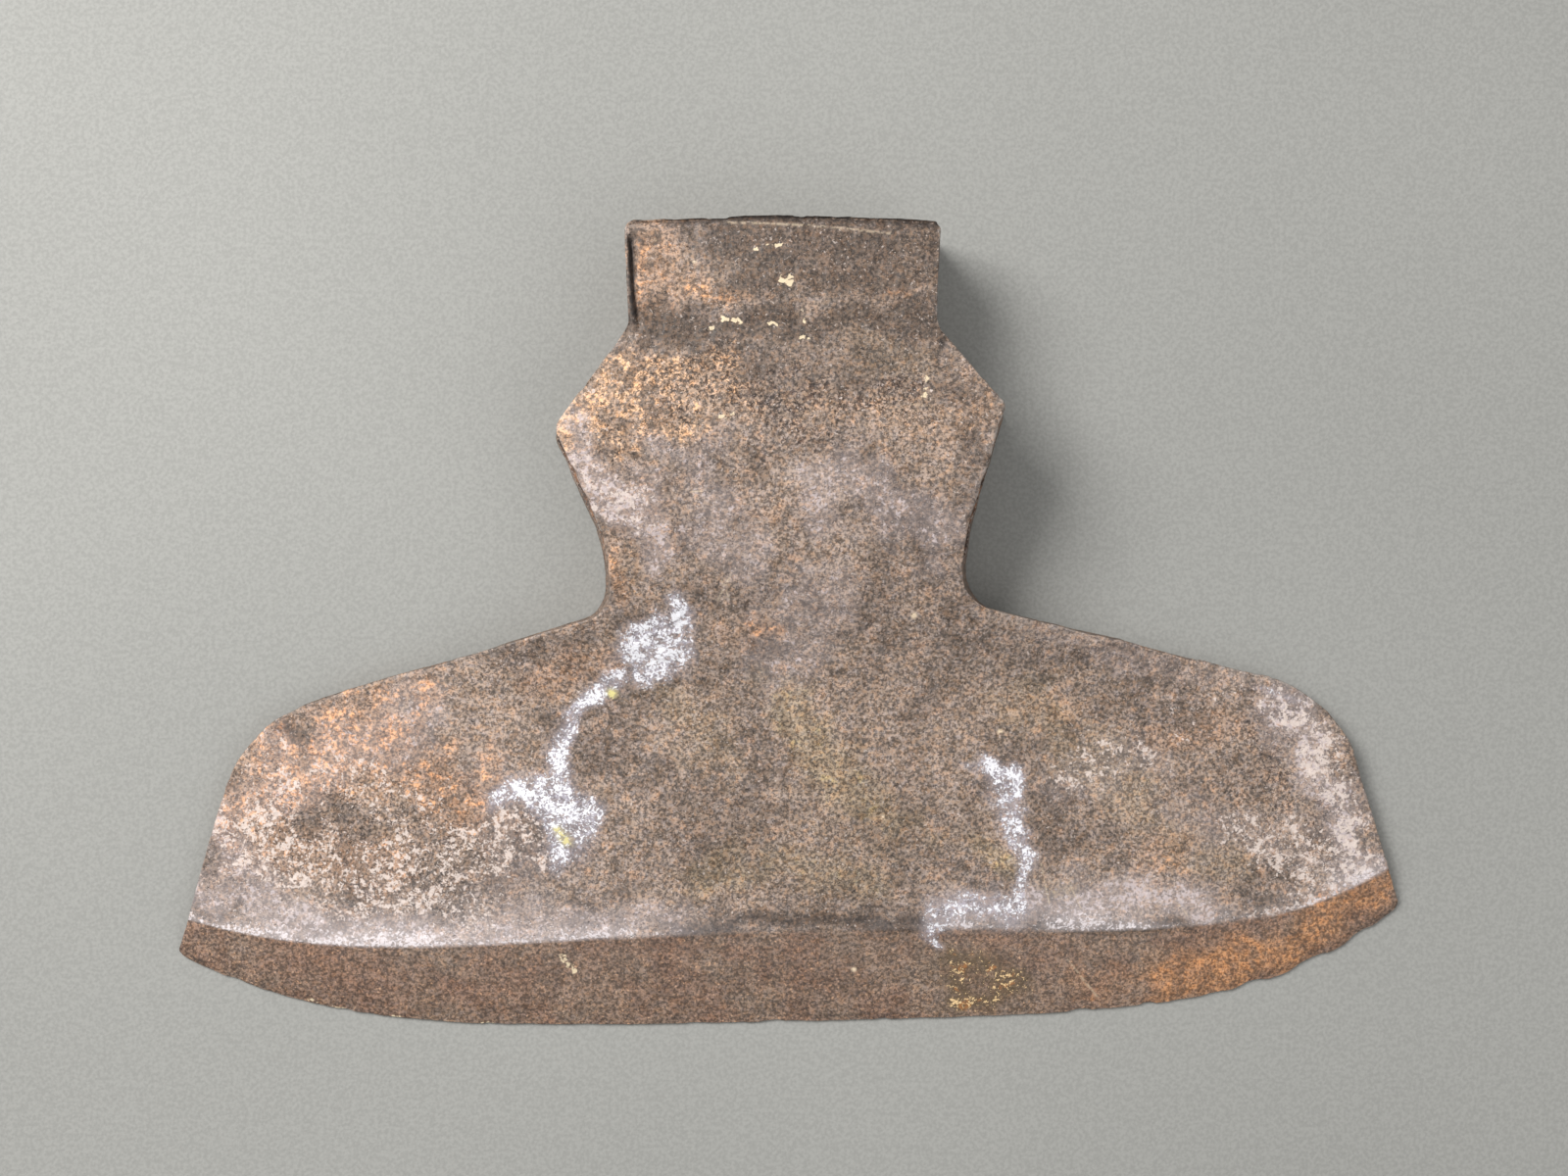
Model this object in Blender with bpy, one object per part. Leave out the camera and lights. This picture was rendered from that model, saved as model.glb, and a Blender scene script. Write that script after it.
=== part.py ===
"""Head of a hewing axe: a square poll, an eye between pointed ears, and a broad blade ground on one side.

It lies on its flat side. X runs along the cutting edge, from heel to toe, and Y from the edge to the poll.
Lengths are in metres. The head is drawn from its throat, the narrow place where blade and eye meet: there
y is 0, and x is 0 on the middle of the poll. It is then moved so that its box stands centred on the origin.
"""

import math

import bmesh
import bpy
import numpy as np

# Poll
POLL_LENGTH = 0.0268
POLL_THICKNESS = 0.0285
POLL_HEEL_SIDE = 0.0384
POLL_TOE_SIDE = 0.0381
POLL_CROWN = 0.0014
POLL_CORNER_RADIUS = 0.0028

# Eye, which takes the haft, and the cheeks over and under it
EYE_HEIGHT = 0.0200
CHEEK_WALL = 0.0055
CHEEK_LENGTH = 0.0597
EYE_BACK_GAP = 0.0022
EYE_FRONT_GAP = 0.0020
EYE_BACK_ROUND = 0.0130
EYE_FLAT = 0.0150
EYE_POINT_POWER = 1.65

# Pointed ears at either end of the cheeks
NOTCH_THICKNESS = 0.0300
NOTCH_HEEL_SIDE = 0.0374
NOTCH_TOE_SIDE = 0.0371
NOTCH_RADIUS = 0.0050
EAR_HEEL_SIDE = 0.0554
EAR_TOE_SIDE = 0.0529
EAR_HEEL_DROP = 0.0245
EAR_TOE_DROP = 0.0190
EAR_HEEL_RADIUS = 0.0040
EAR_TOE_RADIUS = 0.0028

# How far the lower cheek stands out past the upper one
POLL_LAP = 0.0006
EAR_LAP = 0.0032

# Throat and the roots of the shoulders
THROAT_THICKNESS = 0.0240
WAIST_HEEL_RISE = 0.0070
WAIST_TOE_RISE = 0.0130
WAIST_HEEL_SIDE = 0.0426
WAIST_TOE_SIDE = 0.0446
WAIST_RADIUS = 0.0300
ROOT_HEEL_SIDE = 0.0425
ROOT_TOE_SIDE = 0.0424
ROOT_HEEL_DROP = 0.0085
ROOT_TOE_DROP = 0.0057
ROOT_HEEL_RADIUS = 0.0065
ROOT_TOE_RADIUS = 0.0140

# Blade
BLADE_LENGTH = 0.1132
CORNER_HEEL_SIDE = 0.1338
CORNER_TOE_SIDE = 0.1365
CORNER_HEEL_DROP = 0.0356
CORNER_TOE_DROP = 0.0286
CORNER_HEEL_RADIUS = 0.0320
CORNER_TOE_RADIUS = 0.0300
TIP_HEEL_SIDE = 0.1526
TIP_TOE_SIDE = 0.1548
TIP_RADIUS = 0.0022
SIDE_BOW = 0.0014
NECK_DROP = 0.0290
NECK_THICKNESS = 0.0133
MIDDLE_THICKNESS = 0.0104
SHEET_THICKNESS = 0.0088
CORNER_THICKNESS = 0.0046
RIB_SLOPE = 0.0330
RIB_FADE = 0.0700

# Cutting edge and the ground bevel behind it
EDGE_LOW_X = -0.0480
EDGE_HEEL_RISE = 0.0178
EDGE_HEEL_POWER = 3.0
EDGE_TOE_RISE = 0.0300
EDGE_TOE_POWER = 7.0
EDGE_GENTLE_SHARE = 0.19
EDGE_GENTLE_POWER = 1.5
EDGE_THICKNESS = 0.0006
BEVEL_WIDTH = 0.0240
BEVEL_HEEL_WIDTH = 0.0105
BEVEL_TOE_WIDTH = 0.0125
BEVEL_POWER = 2.2
BEVEL_THICKNESS = 0.0076

# Rounded edges
ARRIS_RADIUS = 0.0011
POLL_ARRIS_RADIUS = 0.0026
ARRIS_LARGEST_SHARE = 0.32
FILLET_LARGEST_SHARE = 0.45

# Fineness of the surface
COLUMNS = 44
ROWS = {"poll": 7, "ear_back": 8, "ear_front": 14, "shoulder": 13, "side": 7, "bevel": 4}
THROAT_ROW = ROWS["poll"] + ROWS["ear_back"] + ROWS["ear_front"]
BEVEL_ROW = THROAT_ROW + ROWS["shoulder"] + ROWS["side"]
ARC_STEPS = 10
CURVE_STEPS = 80
EYE_STEPS = 12
BEND_LENGTH = 0.0080
MERGE_DISTANCE = 1e-6
CUTTER_MARGIN = 0.0200
SHARP_ANGLE = math.radians(32.0)

# Finish
IRON_COLOUR = (0.145, 0.105, 0.085, 1.0)
IRON_ROUGHNESS = 0.72
IRON_METALLIC = 0.35

HEEL, TOE = -1.0, 1.0
EYE_THICKNESS = EYE_HEIGHT + 2 * CHEEK_WALL
GRID_SIDES = (np.s_[:, 0], np.s_[:, -1], np.s_[0, :], np.s_[-1, :])


def clear_scene():
    """Removes every object of the open scene."""
    for obj in list(bpy.data.objects):
        bpy.data.objects.remove(obj, do_unlink=True)


def make_collection(name, hidden=False):
    """Adds a collection to the scene; a hidden one holds cutters."""
    collection = bpy.data.collections.new(name)
    collection.hide_render = hidden
    bpy.context.scene.collection.children.link(collection)
    return collection


def make_iron():
    """Dark, rusted forged iron."""
    material = bpy.data.materials.new("forged_iron")
    material.use_nodes = True
    shader = material.node_tree.nodes["Principled BSDF"]
    shader.inputs["Base Color"].default_value = IRON_COLOUR
    shader.inputs["Roughness"].default_value = IRON_ROUGHNESS
    shader.inputs["Metallic"].default_value = IRON_METALLIC
    return material


def by_side(side, heel_value, toe_value):
    """The value that belongs to one side of the head."""
    return heel_value if side == HEEL else toe_value


def eased(share):
    """Goes from 0 to 1 with level ends."""
    share = np.clip(share, 0.0, 1.0)
    return share * share * (3.0 - 2.0 * share)


def smooth_through(places_and_values, x):
    """A cubic curve through (place, value) stations, its slope at each one taken from the neighbours."""
    places, values = np.array(sorted(places_and_values)).T
    slopes = np.gradient(values, places)
    x = np.clip(x, places[0], places[-1])
    index = np.clip(np.searchsorted(places, x) - 1, 0, len(places) - 2)
    span = places[index + 1] - places[index]
    t = (x - places[index]) / span
    start = values[index] * (1 + 2 * t) * (1 - t) ** 2 + slopes[index] * span * t * (1 - t) ** 2
    end = values[index + 1] * t * t * (3 - 2 * t) - slopes[index + 1] * span * t * t * (1 - t)
    return start + end


def unit(vector):
    """The vector at length 1."""
    return vector / np.linalg.norm(vector)


def fillet(before, corner, after, radius):
    """The arc that rounds a corner, limited by the shorter of its two sides."""
    towards_before = unit(before - corner)
    towards_after = unit(after - corner)
    half_angle = math.acos(np.clip(towards_before @ towards_after, -1.0, 1.0)) / 2
    shorter = min(np.linalg.norm(before - corner), np.linalg.norm(after - corner))
    tangent = min(radius / math.tan(half_angle), FILLET_LARGEST_SHARE * shorter)
    to_centre = unit(towards_before + towards_after) * tangent / math.cos(half_angle)
    start = towards_before * tangent - to_centre
    end = towards_after * tangent - to_centre
    turn = math.pi - 2 * half_angle
    share = np.linspace(0.0, 1.0, 2 * ARC_STEPS + 1)[:, None]
    swing = np.sin((1 - share) * turn) * start + np.sin(share * turn) * end
    return corner + to_centre + swing / math.sin(turn)


def spread(points, pieces):
    """Places pieces + 1 points along a line; each radian of bend counts as BEND_LENGTH more of it."""
    lengths = np.linalg.norm(np.diff(points, axis=0), axis=1)
    points = points[np.append(True, lengths > MERGE_DISTANCE)]
    steps = np.diff(points, axis=0)
    heading = np.unwrap(np.arctan2(steps[:, 1], steps[:, 0]))
    turn_before = np.abs(np.diff(heading, prepend=heading[0]))
    turn_after = np.abs(np.diff(heading, append=heading[-1]))
    weighted = np.linalg.norm(steps, axis=1) + BEND_LENGTH * (turn_before + turn_after) / 2
    measure = np.append(0.0, np.cumsum(weighted))
    wanted = np.linspace(0.0, measure[-1], pieces + 1)
    return np.stack([np.interp(wanted, measure, points[:, axis]) for axis in (0, 1)], axis=1)


def edge_y(x):
    """The cutting edge: one even rise to the heel, and to the toe a gentle rise that ends in a tight one."""
    to_heel = np.clip((EDGE_LOW_X - x) / (TIP_HEEL_SIDE + EDGE_LOW_X), 0.0, None)
    to_toe = np.clip((x - EDGE_LOW_X) / (TIP_TOE_SIDE - EDGE_LOW_X), 0.0, None)
    gentle = EDGE_GENTLE_SHARE * to_toe**EDGE_GENTLE_POWER
    tight = (1 - EDGE_GENTLE_SHARE) * to_toe**EDGE_TOE_POWER
    return EDGE_HEEL_RISE * to_heel**EDGE_HEEL_POWER + EDGE_TOE_RISE * (gentle + tight) - BLADE_LENGTH


def bevel_y(x):
    """The line where the bevel starts: farthest from the edge at its middle, nearer at heel and toe."""
    share = np.abs(x) / np.where(x < 0, TIP_HEEL_SIDE, TIP_TOE_SIDE)
    end_width = np.where(x < 0, BEVEL_HEEL_WIDTH, BEVEL_TOE_WIDTH)
    return edge_y(x) + BEVEL_WIDTH - (BEVEL_WIDTH - end_width) * share**BEVEL_POWER


def height(x, y):
    """Thickness of the head: level over the eye, and below it a rib that sinks into a thinning blade."""
    blade_end = bevel_y(0.0)
    spine = smooth_through(
        [
            (CHEEK_LENGTH + POLL_LENGTH, POLL_THICKNESS),
            (CHEEK_LENGTH, NOTCH_THICKNESS),
            (CHEEK_LENGTH - EAR_HEEL_DROP, EYE_THICKNESS),
            (0.0, THROAT_THICKNESS),
            (-NECK_DROP, NECK_THICKNESS),
            ((blade_end - NECK_DROP) / 2, MIDDLE_THICKNESS),
            (blade_end, BEVEL_THICKNESS),
        ],
        y,
    )
    below_throat = np.clip(-y, 0.0, None)
    middle = SHEET_THICKNESS + (BEVEL_THICKNESS - SHEET_THICKNESS) * eased(-below_throat / blade_end)
    outward = np.clip(np.abs(x) / np.where(x < 0, TIP_HEEL_SIDE, TIP_TOE_SIDE), 0.0, 1.0)
    sheet = middle + (CORNER_THICKNESS - middle) * outward**2
    core = (max(ROOT_HEEL_SIDE, ROOT_TOE_SIDE) + EAR_LAP) * (1 - eased(below_throat / RIB_FADE))
    past_core = np.clip(np.abs(x) - core, 0.0, None) / (RIB_SLOPE * (1 + below_throat / RIB_FADE))
    rib = np.clip(spine - middle, 0.0, None) * np.exp(-(past_core**2))
    return np.where(y > 0.0, spine, sheet + rib)


def side_lines(side):
    """One side of the plan, cut at its stations: notch, ear, throat, shoulder's corner and bevel."""
    tip_x = side * by_side(side, TIP_HEEL_SIDE, TIP_TOE_SIDE)
    edge_x = tip_x - side * BEVEL_WIDTH
    poll_corner_y = CHEEK_LENGTH + POLL_LENGTH - POLL_CROWN
    corners = np.array(
        [
            (0.0, poll_corner_y),
            (side * by_side(side, POLL_HEEL_SIDE, POLL_TOE_SIDE), poll_corner_y),
            (side * by_side(side, NOTCH_HEEL_SIDE, NOTCH_TOE_SIDE), CHEEK_LENGTH),
            (
                side * by_side(side, EAR_HEEL_SIDE, EAR_TOE_SIDE),
                CHEEK_LENGTH - by_side(side, EAR_HEEL_DROP, EAR_TOE_DROP),
            ),
            (
                side * by_side(side, WAIST_HEEL_SIDE, WAIST_TOE_SIDE),
                by_side(side, WAIST_HEEL_RISE, WAIST_TOE_RISE),
            ),
            (
                side * by_side(side, ROOT_HEEL_SIDE, ROOT_TOE_SIDE),
                -by_side(side, ROOT_HEEL_DROP, ROOT_TOE_DROP),
            ),
            (
                side * by_side(side, CORNER_HEEL_SIDE, CORNER_TOE_SIDE),
                -by_side(side, CORNER_HEEL_DROP, CORNER_TOE_DROP),
            ),
            (tip_x, edge_y(tip_x)),
            (edge_x, edge_y(edge_x)),
        ]
    )
    radii = [
        POLL_CORNER_RADIUS,
        NOTCH_RADIUS,
        by_side(side, EAR_HEEL_RADIUS, EAR_TOE_RADIUS),
        WAIST_RADIUS,
        by_side(side, ROOT_HEEL_RADIUS, ROOT_TOE_RADIUS),
        by_side(side, CORNER_HEEL_RADIUS, CORNER_TOE_RADIUS),
        TIP_RADIUS,
    ]
    arcs = [fillet(*corners[i : i + 3], radius) for i, radius in enumerate(radii)]
    poll, notch, ear, waist, root, corner, tip = arcs
    first, second = slice(None, ARC_STEPS + 1), slice(ARC_STEPS, None)
    down_side = np.concatenate([corner[second], tip[first]])
    along = np.append(0.0, np.cumsum(np.linalg.norm(np.diff(down_side, axis=0), axis=1)))
    down_side[:, 0] += side * SIDE_BOW * np.sin(math.pi * along / along[-1])
    split = along[-1] - by_side(side, BEVEL_HEEL_WIDTH, BEVEL_TOE_WIDTH)
    split_point = np.array([[np.interp(split, along, down_side[:, axis]) for axis in (0, 1)]])
    return {
        "poll_end": poll[first],
        "poll": np.concatenate([poll[second], notch[first]]),
        "ear_back": np.concatenate([notch[second], ear[first]]),
        "ear_front": np.concatenate([ear[second], waist, root[first]]),
        "shoulder": np.concatenate([root[second], corner[first]]),
        "side": np.concatenate([down_side[along < split], split_point]),
        "bevel": np.concatenate([split_point, down_side[along > split]]),
        "edge_end": tip[second],
    }


def side_column(lines):
    """The points of one side in order, from the poll's corner to the blade's tip."""
    pieces = [spread(lines[name], count) for name, count in ROWS.items()]
    return np.concatenate([pieces[0]] + [piece[1:] for piece in pieces[1:]])


def crossing_line(heel_end, toe_end, line_y):
    """A row that bends from the middle of one end arc to that of the other along line_y(x)."""
    share = np.linspace(0.0, 1.0, CURVE_STEPS)
    start, end = heel_end[-1], toe_end[-1]
    x = start[0] + (end[0] - start[0]) * share
    miss = (start[1] - line_y(start[0])) * (1 - share) + (end[1] - line_y(end[0])) * share
    middle = np.stack([x, line_y(x) + miss], axis=1)
    return spread(np.concatenate([heel_end[:-1], middle, toe_end[-2::-1]]), COLUMNS)


def poll_y(x):
    """The end of the poll, crowned a little at its middle."""
    side = np.where(x < 0, POLL_HEEL_SIDE, POLL_TOE_SIDE)
    return CHEEK_LENGTH + POLL_LENGTH - POLL_CROWN * np.clip(np.abs(x) / side, 0.0, 1.0) ** 2


def patch(back, front, heel, toe):
    """A grid of plan points stretched between four lines, blended from each of them."""
    v = np.linspace(0.0, 1.0, len(heel))[:, None, None]
    u = np.linspace(0.0, 1.0, len(back))[None, :, None]
    along = (1 - v) * back[None] + v * front[None]
    across = (1 - u) * heel[:, None] + u * toe[:, None]
    corners = (1 - v) * ((1 - u) * back[0] + u * back[-1]) + v * ((1 - u) * front[0] + u * front[-1])
    return along + across - corners


def outline():
    """The plan's outline in four lines: the heel and toe sides, the poll's end and the cutting edge."""
    heel_lines, toe_lines = side_lines(HEEL), side_lines(TOE)
    poll = crossing_line(heel_lines["poll_end"][::-1], toe_lines["poll_end"][::-1], poll_y)
    edge = crossing_line(heel_lines["edge_end"], toe_lines["edge_end"], edge_y)
    return side_column(heel_lines), side_column(toe_lines), poll, edge


def rim_of(heel, toe, poll, edge):
    """The four lines as one loop: down the heel side, along the edge, up the toe side, back over the poll."""
    return np.concatenate([heel[:-1], edge[:-1], toe[:0:-1], poll[:0:-1]])


def sides_of(rim):
    """The loop of rim_of as its four lines again."""
    down = sum(ROWS.values())
    closed = np.concatenate([rim, rim[:1]])
    heel, edge = closed[: down + 1], closed[down : down + COLUMNS + 1]
    toe, poll = closed[down + COLUMNS : 2 * down + COLUMNS + 1], closed[2 * down + COLUMNS :]
    return heel, toe[::-1], poll[::-1], edge


def plan_grid(heel, toe, poll, edge):
    """Plan points in rows from poll to edge, each row running from heel to toe."""
    share = np.linspace(0.0, 1.0, COLUMNS + 1)[:, None]
    throat = (1 - share) * heel[THROAT_ROW] + share * toe[THROAT_ROW]
    bevel = crossing_line(heel[BEVEL_ROW : BEVEL_ROW + 1], toe[BEVEL_ROW : BEVEL_ROW + 1], bevel_y)
    cheeks = slice(0, THROAT_ROW + 1)
    blade = slice(THROAT_ROW, BEVEL_ROW + 1)
    ground = slice(BEVEL_ROW, None)
    return np.concatenate(
        [
            patch(poll, throat, heel[cheeks], toe[cheeks]),
            patch(throat, bevel, heel[blade], toe[blade])[1:],
            patch(bevel, edge, heel[ground], toe[ground])[1:],
        ]
    )


def grid_heights(plan):
    """Height of every grid point: the head's thickness, then from the bevel line a fall to the edge."""
    z = height(plan[..., 0], plan[..., 1])
    fall = np.linspace(0.0, 1.0, ROWS["bevel"] + 1)[:, None]
    z[BEVEL_ROW:] = (1 - fall) * z[BEVEL_ROW] + fall * EDGE_THICKNESS
    return z


def rim_values(heel_stations, toe_stations):
    """A value at every rim point, from (row, value) stations down both sides; it runs evenly between them."""
    rows = np.arange(sum(ROWS.values()) + 1)
    across = np.linspace(0.0, 1.0, COLUMNS + 1)
    heel, toe = (np.interp(rows, *zip(*stations)) for stations in (heel_stations, toe_stations))
    poll, edge = ((1 - across) * heel[row] + across * toe[row] for row in (0, -1))
    return rim_of(heel, toe, poll, edge)


def lap_offsets():
    """How far the lower outline stands out past the upper one, along X, at every rim point."""
    stations = [
        (0, POLL_LAP),
        (ROWS["poll"], POLL_LAP),
        (ROWS["poll"] + ROWS["ear_back"], EAR_LAP),
        (THROAT_ROW, EAR_LAP),
        (THROAT_ROW + ROWS["shoulder"] / 2, 0.0),
    ]
    return rim_values([(row, -lap) for row, lap in stations], stations)


def arris_radii(rim_height):
    """Radius of the rounded edge at every rim point: large round the poll's end and its heel side."""
    large_to_small = [(0, POLL_ARRIS_RADIUS), (ROWS["poll"], ARRIS_RADIUS)]
    radii = rim_values(large_to_small, [(0, POLL_ARRIS_RADIUS), (1, ARRIS_RADIUS)])
    return np.minimum(radii, ARRIS_LARGEST_SHARE * rim_height)


def outward_normals(loop):
    """Plan normals of a closed loop that runs anticlockwise."""
    along = np.roll(loop, -1, axis=0) - np.roll(loop, 1, axis=0)
    normals = np.stack([along[:, 1], -along[:, 0]], axis=1)
    return normals / np.linalg.norm(normals, axis=1, keepdims=True)


def wall_rings(upper, lower, rim_height, radius):
    """Rings of points down the wall, from its rounded top edge to its rounded bottom edge."""
    upper_normals, lower_normals = outward_normals(upper), outward_normals(lower)
    rings = []
    for turn, from_top in ((45, True), (90, True), (90, False), (45, False), (0, False)):
        inset = radius * (1 - math.sin(math.radians(turn)))
        rise = radius * (1 - math.cos(math.radians(turn)))
        level = rim_height - rise if from_top else rise
        share = (level / rim_height)[:, None]
        normals = (1 - share) * lower_normals + share * upper_normals
        plan = (1 - share) * lower + share * upper - normals * inset[:, None]
        rings.append(np.column_stack([plan, level]))
    return rings


def make_head(collection, material):
    """The solid head: a flat underside, a moulded top, and walls with rounded edges between them."""
    upper = rim_of(*outline())
    lower = upper + np.outer(lap_offsets(), (1.0, 0.0))
    radius = arris_radii(rim_of(*(grid_heights(plan_grid(*outline()))[line] for line in GRID_SIDES)))
    plan = plan_grid(*sides_of(upper - outward_normals(upper) * radius[:, None]))
    z = grid_heights(plan)
    rings = wall_rings(upper, lower, rim_of(*(z[line] for line in GRID_SIDES)), radius)
    vertices = np.concatenate([np.dstack([plan, z]).reshape(-1, 3)] + rings)

    index = np.arange(z.size).reshape(z.shape)
    quads = np.stack([index[:-1, :-1], index[1:, :-1], index[1:, 1:], index[:-1, 1:]], axis=-1)
    faces = quads.reshape(-1, 4).tolist()
    loops = [rim_of(*(index[line] for line in GRID_SIDES))]
    loops += [z.size + len(upper) * i + np.arange(len(upper)) for i in range(len(rings))]
    for above, below in zip(loops, loops[1:]):
        walls = np.stack([above, below, np.roll(below, -1), np.roll(above, -1)], axis=1)
        faces.extend(walls.tolist())
    faces.append(loops[-1][::-1].tolist())

    mesh = bpy.data.meshes.new("axe_head")
    mesh.from_pydata(vertices.tolist(), [], faces)
    mesh.materials.append(material)
    mesh.shade_smooth()
    mesh.set_sharp_from_angle(angle=SHARP_ANGLE)
    head = bpy.data.objects.new("axe_head", mesh)
    collection.objects.link(head)
    low, high = vertices.min(axis=0), vertices.max(axis=0)
    head.location = (-(low[0] + high[0]) / 2, -(low[1] + high[1]) / 2, 0.0)
    return head


def eye_section():
    """The eye seen along the edge: rounded at the back, level in the middle, narrowing to the front."""
    back = CHEEK_LENGTH - EYE_BACK_GAP
    flat_back = back - EYE_BACK_ROUND
    flat_front = flat_back - EYE_FLAT
    turn = np.linspace(0.0, math.pi / 2, EYE_STEPS + 1)
    back_y = flat_back + EYE_BACK_ROUND * np.cos(turn)
    back_z = np.sin(turn)
    front_y = flat_front - (flat_front - EYE_FRONT_GAP) * np.sin(turn) ** (2 / EYE_POINT_POWER)
    front_z = np.clip(np.cos(turn), 0.0, 1.0) ** (2 / EYE_POINT_POWER)
    y = np.concatenate([back_y, front_y])
    z = np.concatenate([back_z, front_z]) * EYE_HEIGHT / 2
    middle = EYE_THICKNESS / 2
    upper = np.stack([y, middle + z], axis=1)
    lower = np.stack([y, middle - z], axis=1)[-2:0:-1]
    return np.concatenate([upper, lower])


def make_eye_cutter(collection, head):
    """A bar with the eye's section, which runs past both ears."""
    section = eye_section()
    curve = bpy.data.curves.new("eye_section", "CURVE")
    curve.dimensions = "2D"
    curve.fill_mode = "BOTH"
    curve.extrude = max(EAR_HEEL_SIDE, EAR_TOE_SIDE) + EAR_LAP + CUTTER_MARGIN
    spline = curve.splines.new("POLY")
    spline.points.add(len(section) - 1)
    flat = np.column_stack([section, np.zeros(len(section)), np.ones(len(section))])
    spline.points.foreach_set("co", flat.ravel())
    spline.use_cyclic_u = True
    outline = bpy.data.objects.new("eye_outline", curve)
    collection.objects.link(outline)
    outline.rotation_euler = (math.pi / 2, 0.0, math.pi / 2)
    outline.location = head.location
    bpy.context.view_layer.update()
    evaluated = outline.evaluated_get(bpy.context.evaluated_depsgraph_get())
    mesh = bpy.data.meshes.new_from_object(evaluated)
    shape = bmesh.new()
    shape.from_mesh(mesh)
    bmesh.ops.remove_doubles(shape, verts=shape.verts, dist=MERGE_DISTANCE)
    bmesh.ops.recalc_face_normals(shape, faces=shape.faces)
    shape.to_mesh(mesh)
    shape.free()
    mesh.shade_smooth()
    cutter = bpy.data.objects.new("eye_cutter", mesh)
    collection.objects.link(cutter)
    cutter.matrix_world = outline.matrix_world
    cutter.hide_render = True
    cutter.display_type = "WIRE"
    bpy.data.objects.remove(outline, do_unlink=True)
    return cutter


def cut(head, cutter):
    """Takes the cutter's shape out of the head."""
    modifier = head.modifiers.new("eye", "BOOLEAN")
    modifier.operation = "DIFFERENCE"
    modifier.solver = "EXACT"
    modifier.object = cutter


def main():
    """Builds the head and opens its eye."""
    clear_scene()
    parts = make_collection("hewing_axe_head")
    cutters = make_collection("cutters", hidden=True)
    head = make_head(parts, make_iron())
    cut(head, make_eye_cutter(cutters, head))


main()
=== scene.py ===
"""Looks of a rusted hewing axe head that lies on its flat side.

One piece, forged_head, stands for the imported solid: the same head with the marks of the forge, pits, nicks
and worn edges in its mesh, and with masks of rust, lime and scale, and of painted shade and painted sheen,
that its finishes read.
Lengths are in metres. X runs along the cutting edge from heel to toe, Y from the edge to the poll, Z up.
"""

import logging
import math
from collections.abc import Callable
from dataclasses import dataclass, replace
from enum import Enum

import bpy
import numpy as np
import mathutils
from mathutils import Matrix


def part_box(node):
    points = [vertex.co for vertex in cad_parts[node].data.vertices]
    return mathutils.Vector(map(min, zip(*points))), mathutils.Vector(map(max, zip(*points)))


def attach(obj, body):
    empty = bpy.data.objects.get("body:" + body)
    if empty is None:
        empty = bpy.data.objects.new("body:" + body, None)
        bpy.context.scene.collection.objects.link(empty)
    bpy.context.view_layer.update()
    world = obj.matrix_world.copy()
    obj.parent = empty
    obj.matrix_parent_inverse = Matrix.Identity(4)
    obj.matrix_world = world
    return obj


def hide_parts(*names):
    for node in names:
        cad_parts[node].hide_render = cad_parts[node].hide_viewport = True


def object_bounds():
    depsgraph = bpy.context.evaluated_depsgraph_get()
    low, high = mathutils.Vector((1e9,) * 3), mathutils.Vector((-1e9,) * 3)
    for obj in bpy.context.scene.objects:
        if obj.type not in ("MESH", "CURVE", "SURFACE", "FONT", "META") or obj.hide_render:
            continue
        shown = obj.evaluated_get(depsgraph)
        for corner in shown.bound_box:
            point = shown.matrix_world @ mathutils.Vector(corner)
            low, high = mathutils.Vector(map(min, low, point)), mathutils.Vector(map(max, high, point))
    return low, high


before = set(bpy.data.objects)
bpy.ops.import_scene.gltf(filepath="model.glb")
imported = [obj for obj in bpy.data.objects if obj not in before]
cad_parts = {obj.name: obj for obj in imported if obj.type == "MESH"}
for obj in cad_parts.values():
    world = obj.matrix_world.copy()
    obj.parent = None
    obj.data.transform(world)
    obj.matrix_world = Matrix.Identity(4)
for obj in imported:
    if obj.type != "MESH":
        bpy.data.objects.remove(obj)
CAD_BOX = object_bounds()
LOG = logging.getLogger("hewing_axe_head")


class Side(Enum):
    """One side of the head, by the sign of its X."""

    HEEL = -1
    TOE = 1


@dataclass(frozen=True)
class Pair:
    """A size that differs between the heel side and the toe side."""

    heel: float
    toe: float

    def at(self, side: Side) -> float:
        """The value on one side."""
        return self.heel if side is Side.HEEL else self.toe

    def across(self, x: np.ndarray) -> np.ndarray:
        """The heel's value where x is negative, and the toe's elsewhere."""
        return np.where(np.asarray(x) < 0, self.heel, self.toe)


def eased(share: np.ndarray) -> np.ndarray:
    """Goes from 0 to 1 with level ends: 3 s squared less 2 s cubed, with s held between 0 and 1."""
    share = np.clip(share, 0.0, 1.0)
    return share * share * (3.0 - 2.0 * share)


@dataclass(frozen=True)
class Step:
    """A rise from 0 to 1 that begins at a start and ends a width further on, or before it if negative."""

    start: float
    width: float

    def __call__(self, values: np.ndarray) -> np.ndarray:
        """The eased share of the width that the values have gone."""
        return eased((values - self.start) / self.width)


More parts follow.
